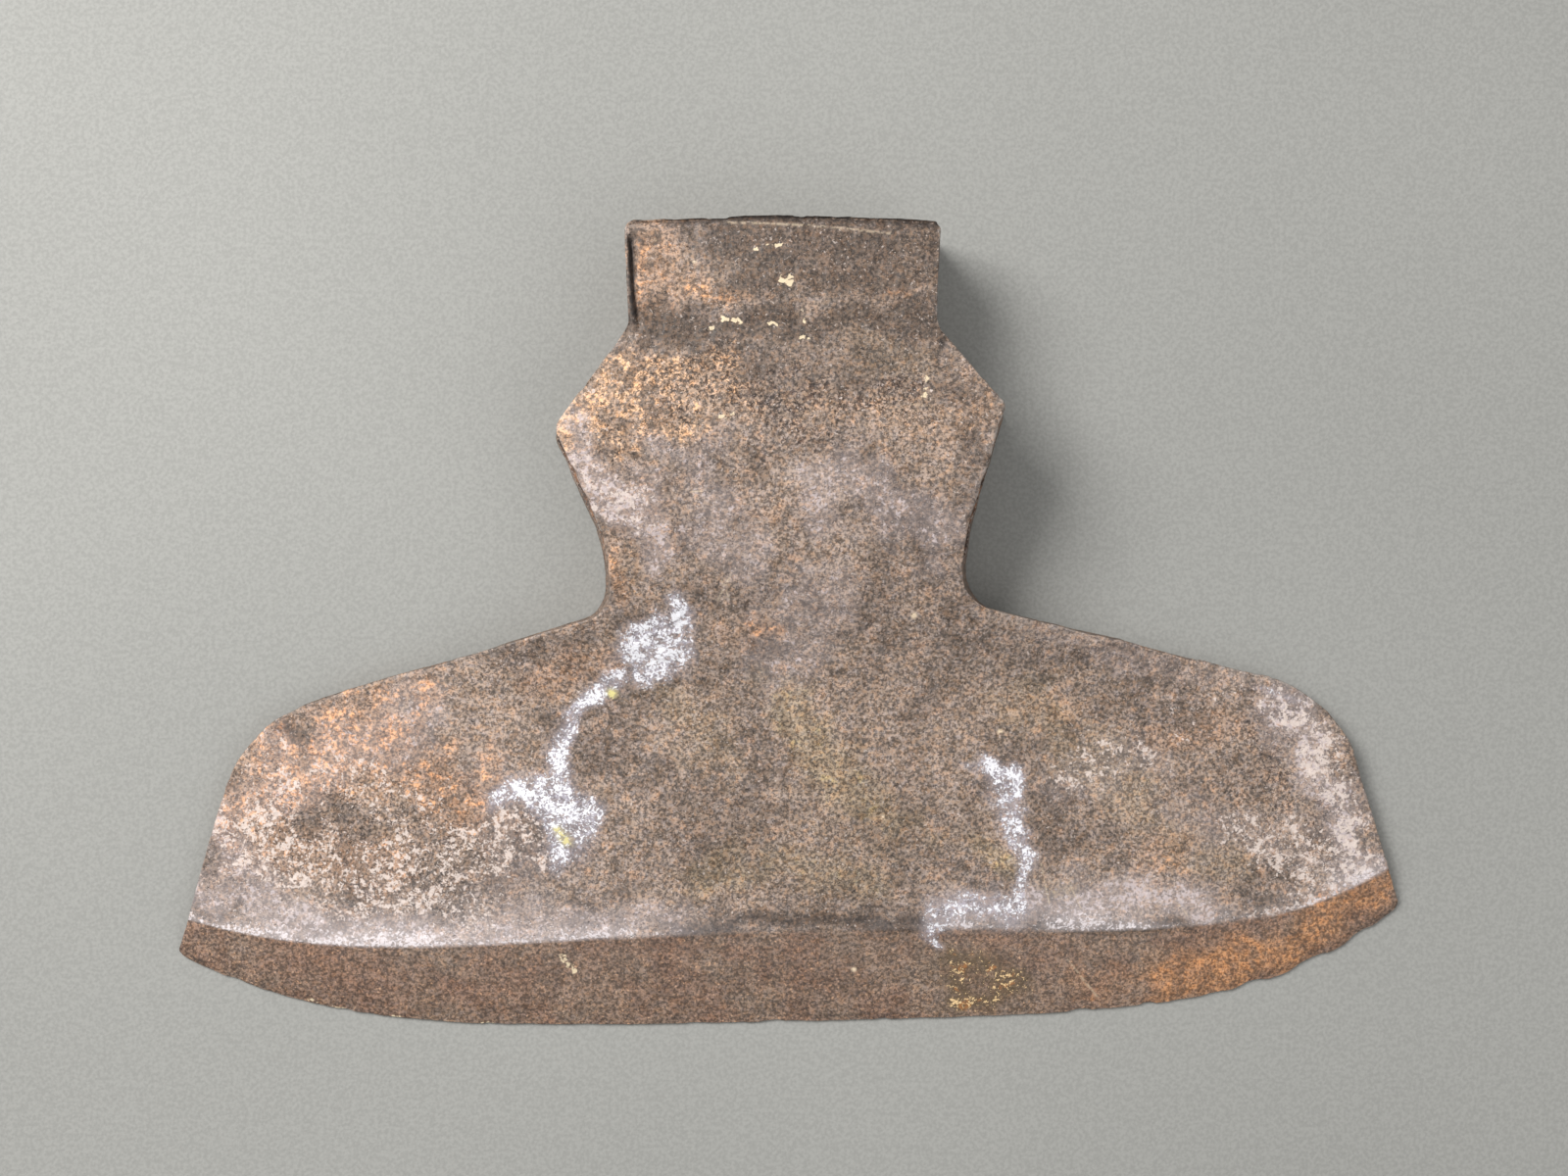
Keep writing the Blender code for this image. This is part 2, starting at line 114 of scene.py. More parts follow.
@dataclass(frozen=True)
class Noise:
    """A smooth random field over space, the same on every run."""

    cell: float
    seed: int
    octaves: int = 3
    roughness: float = 0.5

    TURN = np.array([[0.36, 0.48, -0.80], [-0.80, 0.60, 0.00], [0.48, 0.64, 0.60]])
    PRIMES = np.array([73856093, 19349663, 83492791], dtype=np.int64)
    OCTAVE_DRIFT = 11.3
    SPREAD = 1.6

    def corner_values(self, cells: np.ndarray, octave: int) -> np.ndarray:
        """Random values from -1 to 1, one for each whole-number cell corner, by mixing its bits.

        Args:
            cells: whole-number corners, one row each.
            octave: which layer of the noise they belong to.

        Returns:
            One value a row.
        """
        mixed = (cells * self.PRIMES).sum(axis=-1) + 2654435761 * (self.seed + 17 * octave)
        mixed = (mixed ^ (mixed >> 13)) * 1274126177
        mixed = (mixed ^ (mixed >> 16)) & 0xFFFF
        return mixed / 32767.5 - 1.0

    def __call__(self, points: np.ndarray) -> np.ndarray:
        """The field at some points.

        Each octave blends the values at the eight corners of the cell around a point with eased weights. The
        next octave has cells half as large, turned in space, and counts less by the roughness.

        Args:
            points: positions in metres, one row each.

        Returns:
            Values that lie mostly between -1 and 1, once they are spread out.
        """
        total, weight, reach = np.zeros(len(points)), 1.0, 0.0
        place = points / self.cell
        for octave in range(self.octaves):
            low = np.floor(place).astype(np.int64)
            share = eased(place - low)
            layer = np.zeros(len(points))
            for corner in np.ndindex(2, 2, 2):
                near = np.where(corner, share, 1.0 - share).prod(axis=1)
                layer += near * self.corner_values(low + corner, octave)
            total += weight * layer
            reach += weight * weight
            weight *= self.roughness
            place = place @ self.TURN * 2.0 + self.OCTAVE_DRIFT
        return total * self.SPREAD / math.sqrt(reach)


@dataclass(frozen=True)
class Unevenness:
    """A noise that only takes away: a depth that is more or less by a swing of itself."""

    depth: float
    noise: Noise
    swing: float = 0.9

    def __call__(self, points: np.ndarray) -> np.ndarray:
        """The depth times 1 plus the swing times the noise."""
        return self.depth * (1 + self.swing * self.noise(points))


def line_distance(points: np.ndarray, line: np.ndarray) -> np.ndarray:
    """Distance in plan from each point to a line of straight stretches.

    A point's foot on a stretch is its projection, held between the stretch's two ends.

    Args:
        points: positions in plan, one row each.
        line: the line's corners, one row each.

    Returns:
        The distance to the nearest stretch.
    """
    nearest = np.full(len(points), np.inf)
    for start, end in zip(line, line[1:]):
        along = end - start
        share = np.clip((points - start) @ along / max(along @ along, 1e-12), 0.0, 1.0)
        nearest = np.minimum(nearest, np.linalg.norm(points - start - share[:, None] * along, axis=1))
    return nearest


@dataclass(frozen=True)
class Rows:
    """How many rows of quads each stretch of a side takes, and how many columns run across."""

    poll: int = 26
    ear_back: int = 30
    ear_front: int = 44
    shoulder: int = 72
    side: int = 40
    bevel: int = 26
    columns: int = 216

    def stretches(self) -> dict[str, int]:
        """The rows of each stretch, from the poll to the cutting edge."""
        names = ("poll", "ear_back", "ear_front", "shoulder", "side", "bevel")
        return {name: getattr(self, name) for name in names}

    def down(self) -> int:
        """All rows from the poll to the edge."""
        return sum(self.stretches().values())

    def throat(self) -> int:
        """The row at the throat's shoulder roots."""
        return self.poll + self.ear_back + self.ear_front

    def bevel_line(self) -> int:
        """The row where the ground bevel starts."""
        return self.down() - self.bevel

    def halved(self) -> "Rows":
        """The same rows and columns, half as many of each."""
        halves = {name: count // 2 for name, count in self.stretches().items()}
        return replace(self, columns=self.columns // 2, **halves)


def unit(vector: np.ndarray) -> np.ndarray:
    """The vector at length 1."""
    return vector / np.linalg.norm(vector)


def fillet(corners: np.ndarray, radius: float, steps: int, largest_share: float) -> np.ndarray:
    """The arc that rounds the middle one of three corners.

    It touches both sides at radius over the tangent of the half angle, but no further out than a share of the
    shorter side, and swings from one touching point to the other about its centre.

    Args:
        corners: three plan points.
        radius: the arc's radius.
        steps: pieces in each half of the arc.
        largest_share: the most of the shorter side that the arc may take.

    Returns:
        2 * steps + 1 plan points.
    """
    before, corner, after = corners
    towards_before, towards_after = unit(before - corner), unit(after - corner)
    half_angle = math.acos(np.clip(towards_before @ towards_after, -1.0, 1.0)) / 2
    shorter = min(np.linalg.norm(before - corner), np.linalg.norm(after - corner))
    tangent = min(radius / math.tan(half_angle), largest_share * shorter)
    to_centre = unit(towards_before + towards_after) * tangent / math.cos(half_angle)
    turn = math.pi - 2 * half_angle
    share = np.linspace(0.0, 1.0, 2 * steps + 1)[:, None]
    swing = np.sin((1 - share) * turn) * (towards_before * tangent - to_centre)
    swing = swing + np.sin(share * turn) * (towards_after * tangent - to_centre)
    return corner + to_centre + swing / math.sin(turn)


def patch(back: np.ndarray, front: np.ndarray, heel: np.ndarray, toe: np.ndarray) -> np.ndarray:
    """A grid of plan points stretched between four lines.

    Each point is the blend of back and front, plus the blend of heel and toe, less the blend of the corners.

    Args:
        back: the first row.
        front: the last row.
        heel: the first column.
        toe: the last column.

    Returns:
        An array of rows by columns by 2.
    """
    v = np.linspace(0.0, 1.0, len(heel))[:, None, None]
    u = np.linspace(0.0, 1.0, len(back))[None, :, None]
    along = (1 - v) * back[None] + v * front[None]
    across = (1 - u) * heel[:, None] + u * toe[:, None]
    corners = (1 - v) * ((1 - u) * back[0] + u * back[-1]) + v * ((1 - u) * front[0] + u * front[-1])
    return along + across - corners


def outward_normals(loop: np.ndarray) -> np.ndarray:
    """Plan normals of an anticlockwise loop: the line between a point's neighbours, turned right."""
    along = np.roll(loop, -1, axis=0) - np.roll(loop, 1, axis=0)
    normals = np.stack([along[:, 1], -along[:, 0]], axis=1)
    return normals / np.linalg.norm(normals, axis=1, keepdims=True)


@dataclass(frozen=True)
class HeadForm:
    """The bare form of the head, drawn with y at 0 on its throat and x at 0 on the middle of its poll."""

    poll_length: float = 0.0268
    poll_thickness: float = 0.0285
    poll_side: Pair = Pair(0.0384, 0.0381)
    poll_crown: float = 0.0014
    poll_corner_radius: float = 0.0028
    eye_height: float = 0.0200
    cheek_wall: float = 0.0055
    cheek_length: float = 0.0597
    eye_back_gap: float = 0.0022
    eye_front_gap: float = 0.0020
    eye_back_round: float = 0.0130
    eye_flat: float = 0.0150
    eye_point_power: float = 1.65
    notch_thickness: float = 0.0300
    notch_side: Pair = Pair(0.0374, 0.0371)
    notch_radius: float = 0.0050
    ear_side: Pair = Pair(0.0554, 0.0529)
    ear_drop: Pair = Pair(0.0245, 0.0190)
    ear_radius: Pair = Pair(0.0040, 0.0028)
    poll_lap: float = 0.0006
    ear_lap: float = 0.0032
    throat_thickness: float = 0.0240
    waist_rise: Pair = Pair(0.0070, 0.0130)
    waist_side: Pair = Pair(0.0426, 0.0446)
    waist_radius: float = 0.0300
    root_side: Pair = Pair(0.0425, 0.0424)
    root_drop: Pair = Pair(0.0085, 0.0057)
    root_radius: Pair = Pair(0.0065, 0.0140)
    blade_length: float = 0.1132
    corner_side: Pair = Pair(0.1338, 0.1365)
    corner_drop: Pair = Pair(0.0356, 0.0286)
    corner_radius: Pair = Pair(0.0320, 0.0300)
    tip_side: Pair = Pair(0.1526, 0.1548)
    tip_radius: float = 0.0022
    side_bow: float = 0.0014
    neck_drop: float = 0.0290
    neck_thickness: float = 0.0133
    middle_thickness: float = 0.0104
    sheet_thickness: float = 0.0088
    corner_thickness: float = 0.0046
    rib_slope: float = 0.0330
    rib_fade: float = 0.0700
    edge_low_x: float = -0.0480
    edge_rise: Pair = Pair(0.0178, 0.0300)
    edge_power: Pair = Pair(3.0, 7.0)
    edge_gentle_share: float = 0.19
    edge_gentle_power: float = 1.5
    edge_thickness: float = 0.0006
    bevel_width: float = 0.0240
    bevel_end_width: Pair = Pair(0.0105, 0.0125)
    bevel_power: float = 2.2
    bevel_thickness: float = 0.0076
    arris_radius: float = 0.0011
    poll_arris_radius: float = 0.0012
    toe_arris_share: float = 1 / 7
    arris_largest_share: float = 0.32
    fillet_largest_share: float = 0.45
    arc_steps: int = 24
    bend_length: float = 0.0028
    curve_steps: int = 400
    wall_levels: int = 12
    underside_margin: float = 0.0004
    rows: Rows = Rows()

    def edge_y(self, x: np.ndarray) -> np.ndarray:
        """The cutting edge: one rise by a power to the heel, and a gentle and a tight one to the toe."""
        to_heel = np.clip((self.edge_low_x - x) / (self.tip_side.heel + self.edge_low_x), 0.0, None)
        to_toe = np.clip((x - self.edge_low_x) / (self.tip_side.toe - self.edge_low_x), 0.0, None)
        gentle = self.edge_gentle_share * to_toe**self.edge_gentle_power
        tight = (1 - self.edge_gentle_share) * to_toe**self.edge_power.toe
        heel_rise = self.edge_rise.heel * to_heel**self.edge_power.heel
        return heel_rise + self.edge_rise.toe * (gentle + tight) - self.blade_length

    def outward(self, x: np.ndarray) -> np.ndarray:
        """How far out towards a blade tip x lies, from 0 at the middle to 1."""
        return np.clip(np.abs(x) / self.tip_side.across(x), 0.0, 1.0)

    def bevel_y(self, x: np.ndarray) -> np.ndarray:
        """The line where the bevel starts: its distance from the edge shrinks by a power of the way out."""
        share = np.abs(x) / self.tip_side.across(x)
        narrowing = (self.bevel_width - self.bevel_end_width.across(x)) * share**self.bevel_power
        return self.edge_y(x) + self.bevel_width - narrowing

    def poll_y(self, x: np.ndarray) -> np.ndarray:
        """The end of the poll: a low parabola."""
        share = np.clip(np.abs(x) / self.poll_side.across(x), 0.0, 1.0)
        return self.cheek_length + self.poll_length - self.poll_crown * share**2

    def eye_thickness(self) -> float:
        """The head's thickness over its eye."""
        return self.eye_height + 2 * self.cheek_wall

    def spine(self, y: np.ndarray) -> np.ndarray:
        """Thickness along the middle line: a cubic through stations, with slopes from their neighbours."""
        blade_end = float(self.bevel_y(np.array(0.0)))
        stations = [
            (blade_end, self.bevel_thickness),
            ((blade_end - self.neck_drop) / 2, self.middle_thickness),
            (-self.neck_drop, self.neck_thickness),
            (0.0, self.throat_thickness),
            (self.cheek_length - self.ear_drop.heel, self.eye_thickness()),
            (self.cheek_length, self.notch_thickness),
            (self.cheek_length + self.poll_length, self.poll_thickness),
        ]
        places, values = np.array(stations).T
        slopes = np.gradient(values, places)
        y = np.clip(y, places[0], places[-1])
        index = np.clip(np.searchsorted(places, y) - 1, 0, len(places) - 2)
        span = places[index + 1] - places[index]
        t = (y - places[index]) / span
        start = values[index] * (1 + 2 * t) * (1 - t) ** 2 + slopes[index] * span * t * (1 - t) ** 2
        end = values[index + 1] * t * t * (3 - 2 * t) - slopes[index + 1] * span * t * t * (1 - t)
        return start + end

    def thickness(self, x: np.ndarray, y: np.ndarray) -> np.ndarray:
        """Thickness of the head: the spine's over the eye, then a rib that sinks into a thinning sheet.

        Below the throat it is the sheet's thickness, which falls with the square of the way out, plus the
        spine's excess over it, which fades outwards past the rib's core as a bell curve.
        """
        blade_end = float(self.bevel_y(np.array(0.0)))
        spine = self.spine(y)
        below = np.clip(-y, 0.0, None)
        middle = self.sheet_thickness
        middle = middle + (self.bevel_thickness - self.sheet_thickness) * eased(-below / blade_end)
        sheet = middle + (self.corner_thickness - middle) * self.outward(x) ** 2
        widest_root = max(self.root_side.heel, self.root_side.toe) + self.ear_lap
        core = widest_root * (1 - eased(below / self.rib_fade))
        past_core = np.clip(np.abs(x) - core, 0.0, None) / (self.rib_slope * (1 + below / self.rib_fade))
        rib = np.clip(spine - middle, 0.0, None) * np.exp(-(past_core**2))
        return np.where(y > 0.0, spine, sheet + rib)

    def side_lines(self, side: Side) -> dict[str, np.ndarray]:
        """One side of the plan, as lines cut at its stations.

        Straight stretches run between named corners, each rounded by its arc, and the blade's side bows out
        by half a sine wave.

        Args:
            side: the heel or the toe.

        Returns:
            A plan line for each stretch of Rows, and the arcs' halves at both ends.
        """
        sign = side.value
        tip_x = sign * self.tip_side.at(side)
        edge_x = tip_x - sign * self.bevel_width
        poll_corner_y = self.cheek_length + self.poll_length - self.poll_crown
        corners = np.array(
            [
                (0.0, poll_corner_y),
                (sign * self.poll_side.at(side), poll_corner_y),
                (sign * self.notch_side.at(side), self.cheek_length),
                (sign * self.ear_side.at(side), self.cheek_length - self.ear_drop.at(side)),
                (sign * self.waist_side.at(side), self.waist_rise.at(side)),
                (sign * self.root_side.at(side), -self.root_drop.at(side)),
                (sign * self.corner_side.at(side), -self.corner_drop.at(side)),
                (tip_x, float(self.edge_y(np.array(tip_x)))),
                (edge_x, float(self.edge_y(np.array(edge_x)))),
            ]
        )
        radii = (
            self.poll_corner_radius,
            self.notch_radius,
            self.ear_radius.at(side),
            self.waist_radius,
            self.root_radius.at(side),
            self.corner_radius.at(side),
            self.tip_radius,
        )
        share = self.fillet_largest_share
        arcs = [fillet(corners[i : i + 3], r, self.arc_steps, share) for i, r in enumerate(radii)]
        poll, notch, ear, waist, root, corner, tip = arcs
        first, second = slice(None, self.arc_steps + 1), slice(self.arc_steps, None)
        down_side = np.concatenate([corner[second], tip[first]])
        along = np.append(0.0, np.cumsum(np.linalg.norm(np.diff(down_side, axis=0), axis=1)))
        down_side[:, 0] += sign * self.side_bow * np.sin(math.pi * along / along[-1])
        split = along[-1] - self.bevel_end_width.at(side)
        split_point = np.array([[np.interp(split, along, down_side[:, axis]) for axis in (0, 1)]])
        return {
            "poll_end": poll[first],
            "poll": np.concatenate([poll[second], notch[first]]),
            "ear_back": np.concatenate([notch[second], ear[first]]),
            "ear_front": np.concatenate([ear[second], waist, root[first]]),
            "shoulder": np.concatenate([root[second], corner[first]]),
            "side": np.concatenate([down_side[along < split], split_point]),
            "bevel": np.concatenate([split_point, down_side[along > split]]),
            "edge_end": tip[second],
        }

    def spread(self, points: np.ndarray, pieces: int) -> np.ndarray:
        """Places pieces + 1 points along a line, closer together where it bends.

        Each radian of bend counts as bend_length more of the line, and the points stand at even measures.
        """
        lengths = np.linalg.norm(np.diff(points, axis=0), axis=1)
        points = points[np.append(True, lengths > 1e-6)]
        steps = np.diff(points, axis=0)
        heading = np.unwrap(np.arctan2(steps[:, 1], steps[:, 0]))
        turn_before = np.abs(np.diff(heading, prepend=heading[0]))
        turn_after = np.abs(np.diff(heading, append=heading[-1]))
        weighted = np.linalg.norm(steps, axis=1) + self.bend_length * (turn_before + turn_after) / 2
        measure = np.append(0.0, np.cumsum(weighted))
        wanted = np.linspace(0.0, measure[-1], pieces + 1)
        return np.stack([np.interp(wanted, measure, points[:, axis]) for axis in (0, 1)], axis=1)

    def side_column(self, lines: dict[str, np.ndarray]) -> np.ndarray:
        """The points of one side in order, from the poll's corner to the blade's tip."""
        pieces = [self.spread(lines[name], count) for name, count in self.rows.stretches().items()]
        return np.concatenate([pieces[0]] + [piece[1:] for piece in pieces[1:]])

    def crossing_line(
        self,
        ends: tuple[np.ndarray, np.ndarray],
        line_y: Callable[[np.ndarray], np.ndarray],
        columns: int,
    ) -> np.ndarray:
        """A row from the middle of the heel's end arc to that of the toe's.

        Args:
            ends: the two arcs' halves, each ending where the row leaves it.
            line_y: the function that gives y from x along the row.
            columns: how many pieces the row has.

        Returns:
            columns + 1 plan points. What line_y misses at either end fades evenly along the row.
        """
        heel_end, toe_end = ends
        share = np.linspace(0.0, 1.0, self.curve_steps)
        start, end = heel_end[-1], toe_end[-1]
        x = start[0] + (end[0] - start[0]) * share
        miss = (start[1] - line_y(start[0])) * (1 - share) + (end[1] - line_y(end[0])) * share
        middle = np.stack([x, line_y(x) + miss], axis=1)
        return self.spread(np.concatenate([heel_end[:-1], middle, toe_end[-2::-1]]), columns)

    def rim(self) -> np.ndarray:
        """The plan's outline as one loop: heel side, cutting edge, toe side and poll."""
        heel_lines, toe_lines = self.side_lines(Side.HEEL), self.side_lines(Side.TOE)
        poll_ends = (heel_lines["poll_end"][::-1], toe_lines["poll_end"][::-1])
        edge_ends = (heel_lines["edge_end"], toe_lines["edge_end"])
        poll = self.crossing_line(poll_ends, self.poll_y, self.rows.columns)
        edge = self.crossing_line(edge_ends, self.edge_y, self.rows.columns)
        return joined(self.side_column(heel_lines), self.side_column(toe_lines), poll, edge)

    def plan_grid(self, rim: np.ndarray, rows: Rows) -> np.ndarray:
        """Plan points in rows from poll to edge inside a rim, in three patches that meet at throat and bevel.

        Args:
            rim: the loop around the grid.
            rows: the grid's fineness.

        Returns:
            An array of rows by columns by 2.
        """
        heel, toe, poll, edge = parted(rim, rows)
        share = np.linspace(0.0, 1.0, rows.columns + 1)[:, None]
        throat_row, bevel_row = rows.throat(), rows.bevel_line()
        throat = (1 - share) * heel[throat_row] + share * toe[throat_row]
        bevel_ends = (heel[bevel_row : bevel_row + 1], toe[bevel_row : bevel_row + 1])
        bevel = self.crossing_line(bevel_ends, self.bevel_y, rows.columns)
        cheeks = slice(0, throat_row + 1)
        blade = slice(throat_row, bevel_row + 1)
        ground = slice(bevel_row, None)
        patches = [
            patch(poll, throat, heel[cheeks], toe[cheeks]),
            patch(throat, bevel, heel[blade], toe[blade])[1:],
            patch(bevel, edge, heel[ground], toe[ground])[1:],
        ]
        return np.concatenate(patches)

    def heights(self, plan: np.ndarray) -> np.ndarray:
        """Height of every grid point: the thickness, then an even fall from the bevel line to the edge."""
        z = self.thickness(plan[..., 0], plan[..., 1])
        row = self.rows.bevel_line()
        fall = np.linspace(0.0, 1.0, self.rows.bevel + 1)[:, None]
        z[row:] = (1 - fall) * z[row] + fall * self.edge_thickness
        return z

    def rim_values(self, heel: list[tuple[float, float]], toe: list[tuple[float, float]]) -> np.ndarray:
        """A value at every rim point, from (row, value) stations down both sides; it runs evenly between."""
        rows = np.arange(self.rows.down() + 1)
        across = np.linspace(0.0, 1.0, self.rows.columns + 1)
        sides = [np.interp(rows, *zip(*stations)) for stations in (heel, toe)]
        poll, edge = ((1 - across) * sides[0][row] + across * sides[1][row] for row in (0, -1))
        return joined(sides[0], sides[1], poll, edge)

    def laps(self) -> np.ndarray:
        """How far the lower outline stands out past the upper one, along X, at every rim point."""
        rows = self.rows
        stations = [
            (0, self.poll_lap),
            (rows.poll, self.poll_lap),
            (rows.poll + rows.ear_back, self.ear_lap),
            (rows.throat(), self.ear_lap),
            (rows.throat() + rows.shoulder / 2, 0.0),
        ]
        return self.rim_values([(row, -lap) for row, lap in stations], stations)

    def arrises(self, rim_height: np.ndarray) -> np.ndarray:
        """Radius of the rounded edge at every rim point, at most a share of the height there."""
        heel = [(0, self.poll_arris_radius), (self.rows.poll, self.arris_radius)]
        toe = [(0, self.poll_arris_radius), (self.rows.poll * self.toe_arris_share, self.arris_radius)]
        return np.minimum(self.rim_values(heel, toe), self.arris_largest_share * rim_height)


def joined(heel: np.ndarray, toe: np.ndarray, poll: np.ndarray, edge: np.ndarray) -> np.ndarray:
    """Four border lines of a grid as one anticlockwise loop."""
    return np.concatenate([heel[:-1], edge[:-1], toe[:0:-1], poll[:0:-1]])


def parted(rim: np.ndarray, rows: Rows) -> tuple[np.ndarray, ...]:
    """The loop that joined makes as its four lines again: heel, toe, poll and edge."""
    down, across = rows.down(), rows.columns
    closed = np.concatenate([rim, rim[:1]])
    heel, edge = closed[: down + 1], closed[down : down + across + 1]
    toe, poll = closed[down + across : 2 * down + across + 1], closed[2 * down + across :]
    return heel, toe[::-1], poll[::-1], edge


def border(grid: np.ndarray) -> np.ndarray:
    """The loop around a grid of values."""
    return joined(grid[:, 0], grid[:, -1], grid[0, :], grid[-1, :])


def grid_quads(index: np.ndarray) -> np.ndarray:
    """Four corners of every cell of a grid of vertex numbers, anticlockwise seen from above."""
    quads = np.stack([index[:-1, :-1], index[1:, :-1], index[1:, 1:], index[:-1, 1:]], axis=-1)
    return quads.reshape(-1, 4)


def ring_quads(above: np.ndarray, below: np.ndarray) -> np.ndarray:
    """Four corners of every cell between two loops of vertex numbers, facing outwards."""
    return np.stack([above, below, np.roll(below, -1), np.roll(above, -1)], axis=1)


def halving_triangles(outer: np.ndarray, inner: np.ndarray) -> np.ndarray:
    """Three triangles for every two points of the outer loop and one of the inner loop, facing down."""
    a, b, c = outer[0::2], outer[1::2], np.roll(outer[0::2], -1)
    p, q = inner, np.roll(inner, -1)
    return np.concatenate([np.stack(corners, axis=1) for corners in ((a, p, b), (b, p, q), (b, q, c))])


@dataclass(frozen=True)
class Mark:
    """A mark along a line on the upper face: a groove where its depth is positive, a ridge where negative."""

    line: tuple[tuple[float, float], ...]
    half_width: float
    depth: float

    def __call__(self, plan: np.ndarray) -> np.ndarray:
        """How far the mark lowers the face: its depth times a bell curve of the distance to its line."""
        distance = line_distance(plan, np.array(self.line)) / self.half_width
        return self.depth * np.exp(-(distance**2))


@dataclass(frozen=True)
class Nick:
    """A notch worn or broken into the cutting edge."""

    x: float
    half_width: float
    depth: float

    def __call__(self, x: np.ndarray) -> np.ndarray:
        """Its depth times a flat-bottomed bell: e to the minus fourth power of the distance."""
        return self.depth * np.exp(-(((x - self.x) / self.half_width) ** 4))


POLL_CREASE = ((-0.0372, 0.0603), (-0.0150, 0.0599), (0.0100, 0.0604), (0.0372, 0.0598))
HEEL_LAP_LINE = (
    (-0.0366, 0.0800),
    (-0.0360, 0.0768),
    (-0.0357, 0.0700),
    (-0.0349, 0.0640),
    (-0.0345, 0.0588),
)
POLL_BURR_LINE = ((-0.0137, 0.0840), (-0.0033, 0.0837), (0.0047, 0.0833), (0.0123, 0.0828), (0.0254, 0.0812))
POLL_END_LINE = ((-0.0372, 0.0852), (-0.0150, 0.0864), (0.0000, 0.0867), (0.0150, 0.0864), (0.0372, 0.0852))


@dataclass(frozen=True)
class Forging:
    """The marks of forge, use and rust on the head's surface, as depths below its bare form."""

    hammer: Unevenness = Unevenness(0.00030, Noise(0.026, 11, 2))
    ripple: Unevenness = Unevenness(0.00012, Noise(0.0075, 21))
    scale: Unevenness = Unevenness(0.00005, Noise(0.0020, 25, 2))
    pitted_scale: float = 1.5
    flake: float = 0.00010
    flake_noise: Noise = Noise(0.0120, 41, 3, 0.6)
    flake_grit: Noise = Noise(0.0024, 42, 2)
    flake_grit_share: float = 0.18
    flake_steps: tuple[Step, Step] = (Step(0.10, 0.10), Step(-0.45, 0.12))
    pit: float = 0.00030
    pit_noise: Noise = Noise(0.0030, 31, 2, 0.5)
    pit_level: Step = Step(0.42, 0.45)
    pit_reach: float = 0.35
    pitted_lean: Step = Step(0.0, 0.5)
    marked_lean: Step = Step(0.6, 0.3)
    full_thickness: float = 0.0060
    least_share: float = 0.10
    edge_wave: Unevenness = Unevenness(0.000132, Noise(0.0045, 61, 3, 0.7), 1.0)
    marks: tuple[Mark, ...] = (
        Mark(POLL_CREASE, 0.0016, 0.00028),
        Mark(HEEL_LAP_LINE, 0.0007, 0.00110),
        Mark(((-0.0384, 0.0800), (-0.0370, 0.0588)), 0.0012, 0.00025),
        Mark(POLL_END_LINE, 0.0021, 0.00110),
        Mark(POLL_BURR_LINE, 0.0006, -0.00030),
        Mark(((-0.0357, 0.0800), (-0.0352, 0.0803)), 0.0009, 0.00090),
        Mark(((-0.0155, -0.0054), (-0.0131, 0.0008)), 0.0006, 0.00018),
        Mark(((0.0585, -0.0300), (0.0720, -0.0320)), 0.0060, 0.00020),
        Mark(((-0.0960, -0.0520), (-0.0900, -0.0560)), 0.0050, 0.00018),
    )
    nicks: tuple[Nick, ...] = (
        Nick(-0.0024, 0.0020, 0.00055),
        Nick(0.0250, 0.0012, 0.00030),
        Nick(0.0745, 0.0024, 0.00060),
        Nick(0.0915, 0.0016, 0.00050),
        Nick(0.1180, 0.0030, 0.00070),
        Nick(0.1325, 0.0042, 0.00110),
        Nick(0.1445, 0.0026, 0.00080),
        Nick(-0.0745, 0.0010, 0.00030),
        Nick(-0.1100, 0.0014, 0.00035),
        Nick(-0.1380, 0.0018, 0.00045),
    )

    def edge_loss(self, x: np.ndarray) -> np.ndarray:
        """How far the cutting edge is worn back at x: its nicks, and a fine unevenness all along."""
        place = np.column_stack([x, np.zeros_like(x), np.zeros_like(x)])
        return np.clip(self.edge_wave(place), 0.0, None) + sum(nick(x) for nick in self.nicks)

    def pitting(self, points: np.ndarray, amount: np.ndarray) -> np.ndarray:
        """Round-bottomed pits where a noise passes a level, which falls as the amount rises."""
        return self.pit * self.pit_level(self.pit_noise(points) + self.pit_reach * amount)

    def flaking(self, points: np.ndarray) -> np.ndarray:
        """Low steps where scale has come off: a slow noise, cut at two levels with ragged, steep borders."""
        field = self.flake_noise(points) + self.flake_grit_share * self.flake_grit(points)
        return self.flake * sum(step(field) for step in self.flake_steps)

    def depth(self, points: np.ndarray, upward: np.ndarray, thickness: np.ndarray) -> np.ndarray:
        """How far each point of the bare form sinks below it.

        It is the sum of hammer marks, ripple, scale, flakes and pits, each a noise lifted so that it only
        takes away, times the share of full thickness there, and on the upper face the named marks.

        Args:
            points: positions in the drawing frame.
            upward: the Z of each point's normal.
            thickness: the head's thickness at each point.

        Returns:
            Depths in metres, positive inwards.
        """
        pitted = Brush.PITS.paint(points) * self.pitted_lean(upward)
        sunk = self.hammer(points) + self.ripple(points)
        sunk += self.scale(points) * (1 + self.pitted_scale * pitted)
        sunk += self.pitting(points, pitted) + self.flaking(points)
        sunk *= np.clip(thickness / self.full_thickness, self.least_share, 1.0)
        return sunk + self.marked_lean(upward) * sum(mark(points[:, :2]) for mark in self.marks)


@dataclass(frozen=True)
class Surface:
    """A mesh as whole arrays: its points, the way that each one faces, and its faces by their corners."""

    vertices: np.ndarray
    outwards: np.ndarray
    faces: list[list[int]]

    def to_mesh(self, name: str) -> bpy.types.Mesh:
        """The surface as a Blender mesh, shaded smooth."""
        mesh = bpy.data.meshes.new(name)
        mesh.from_pydata(self.vertices.tolist(), [], self.faces)
        mesh.shade_smooth()
        return mesh


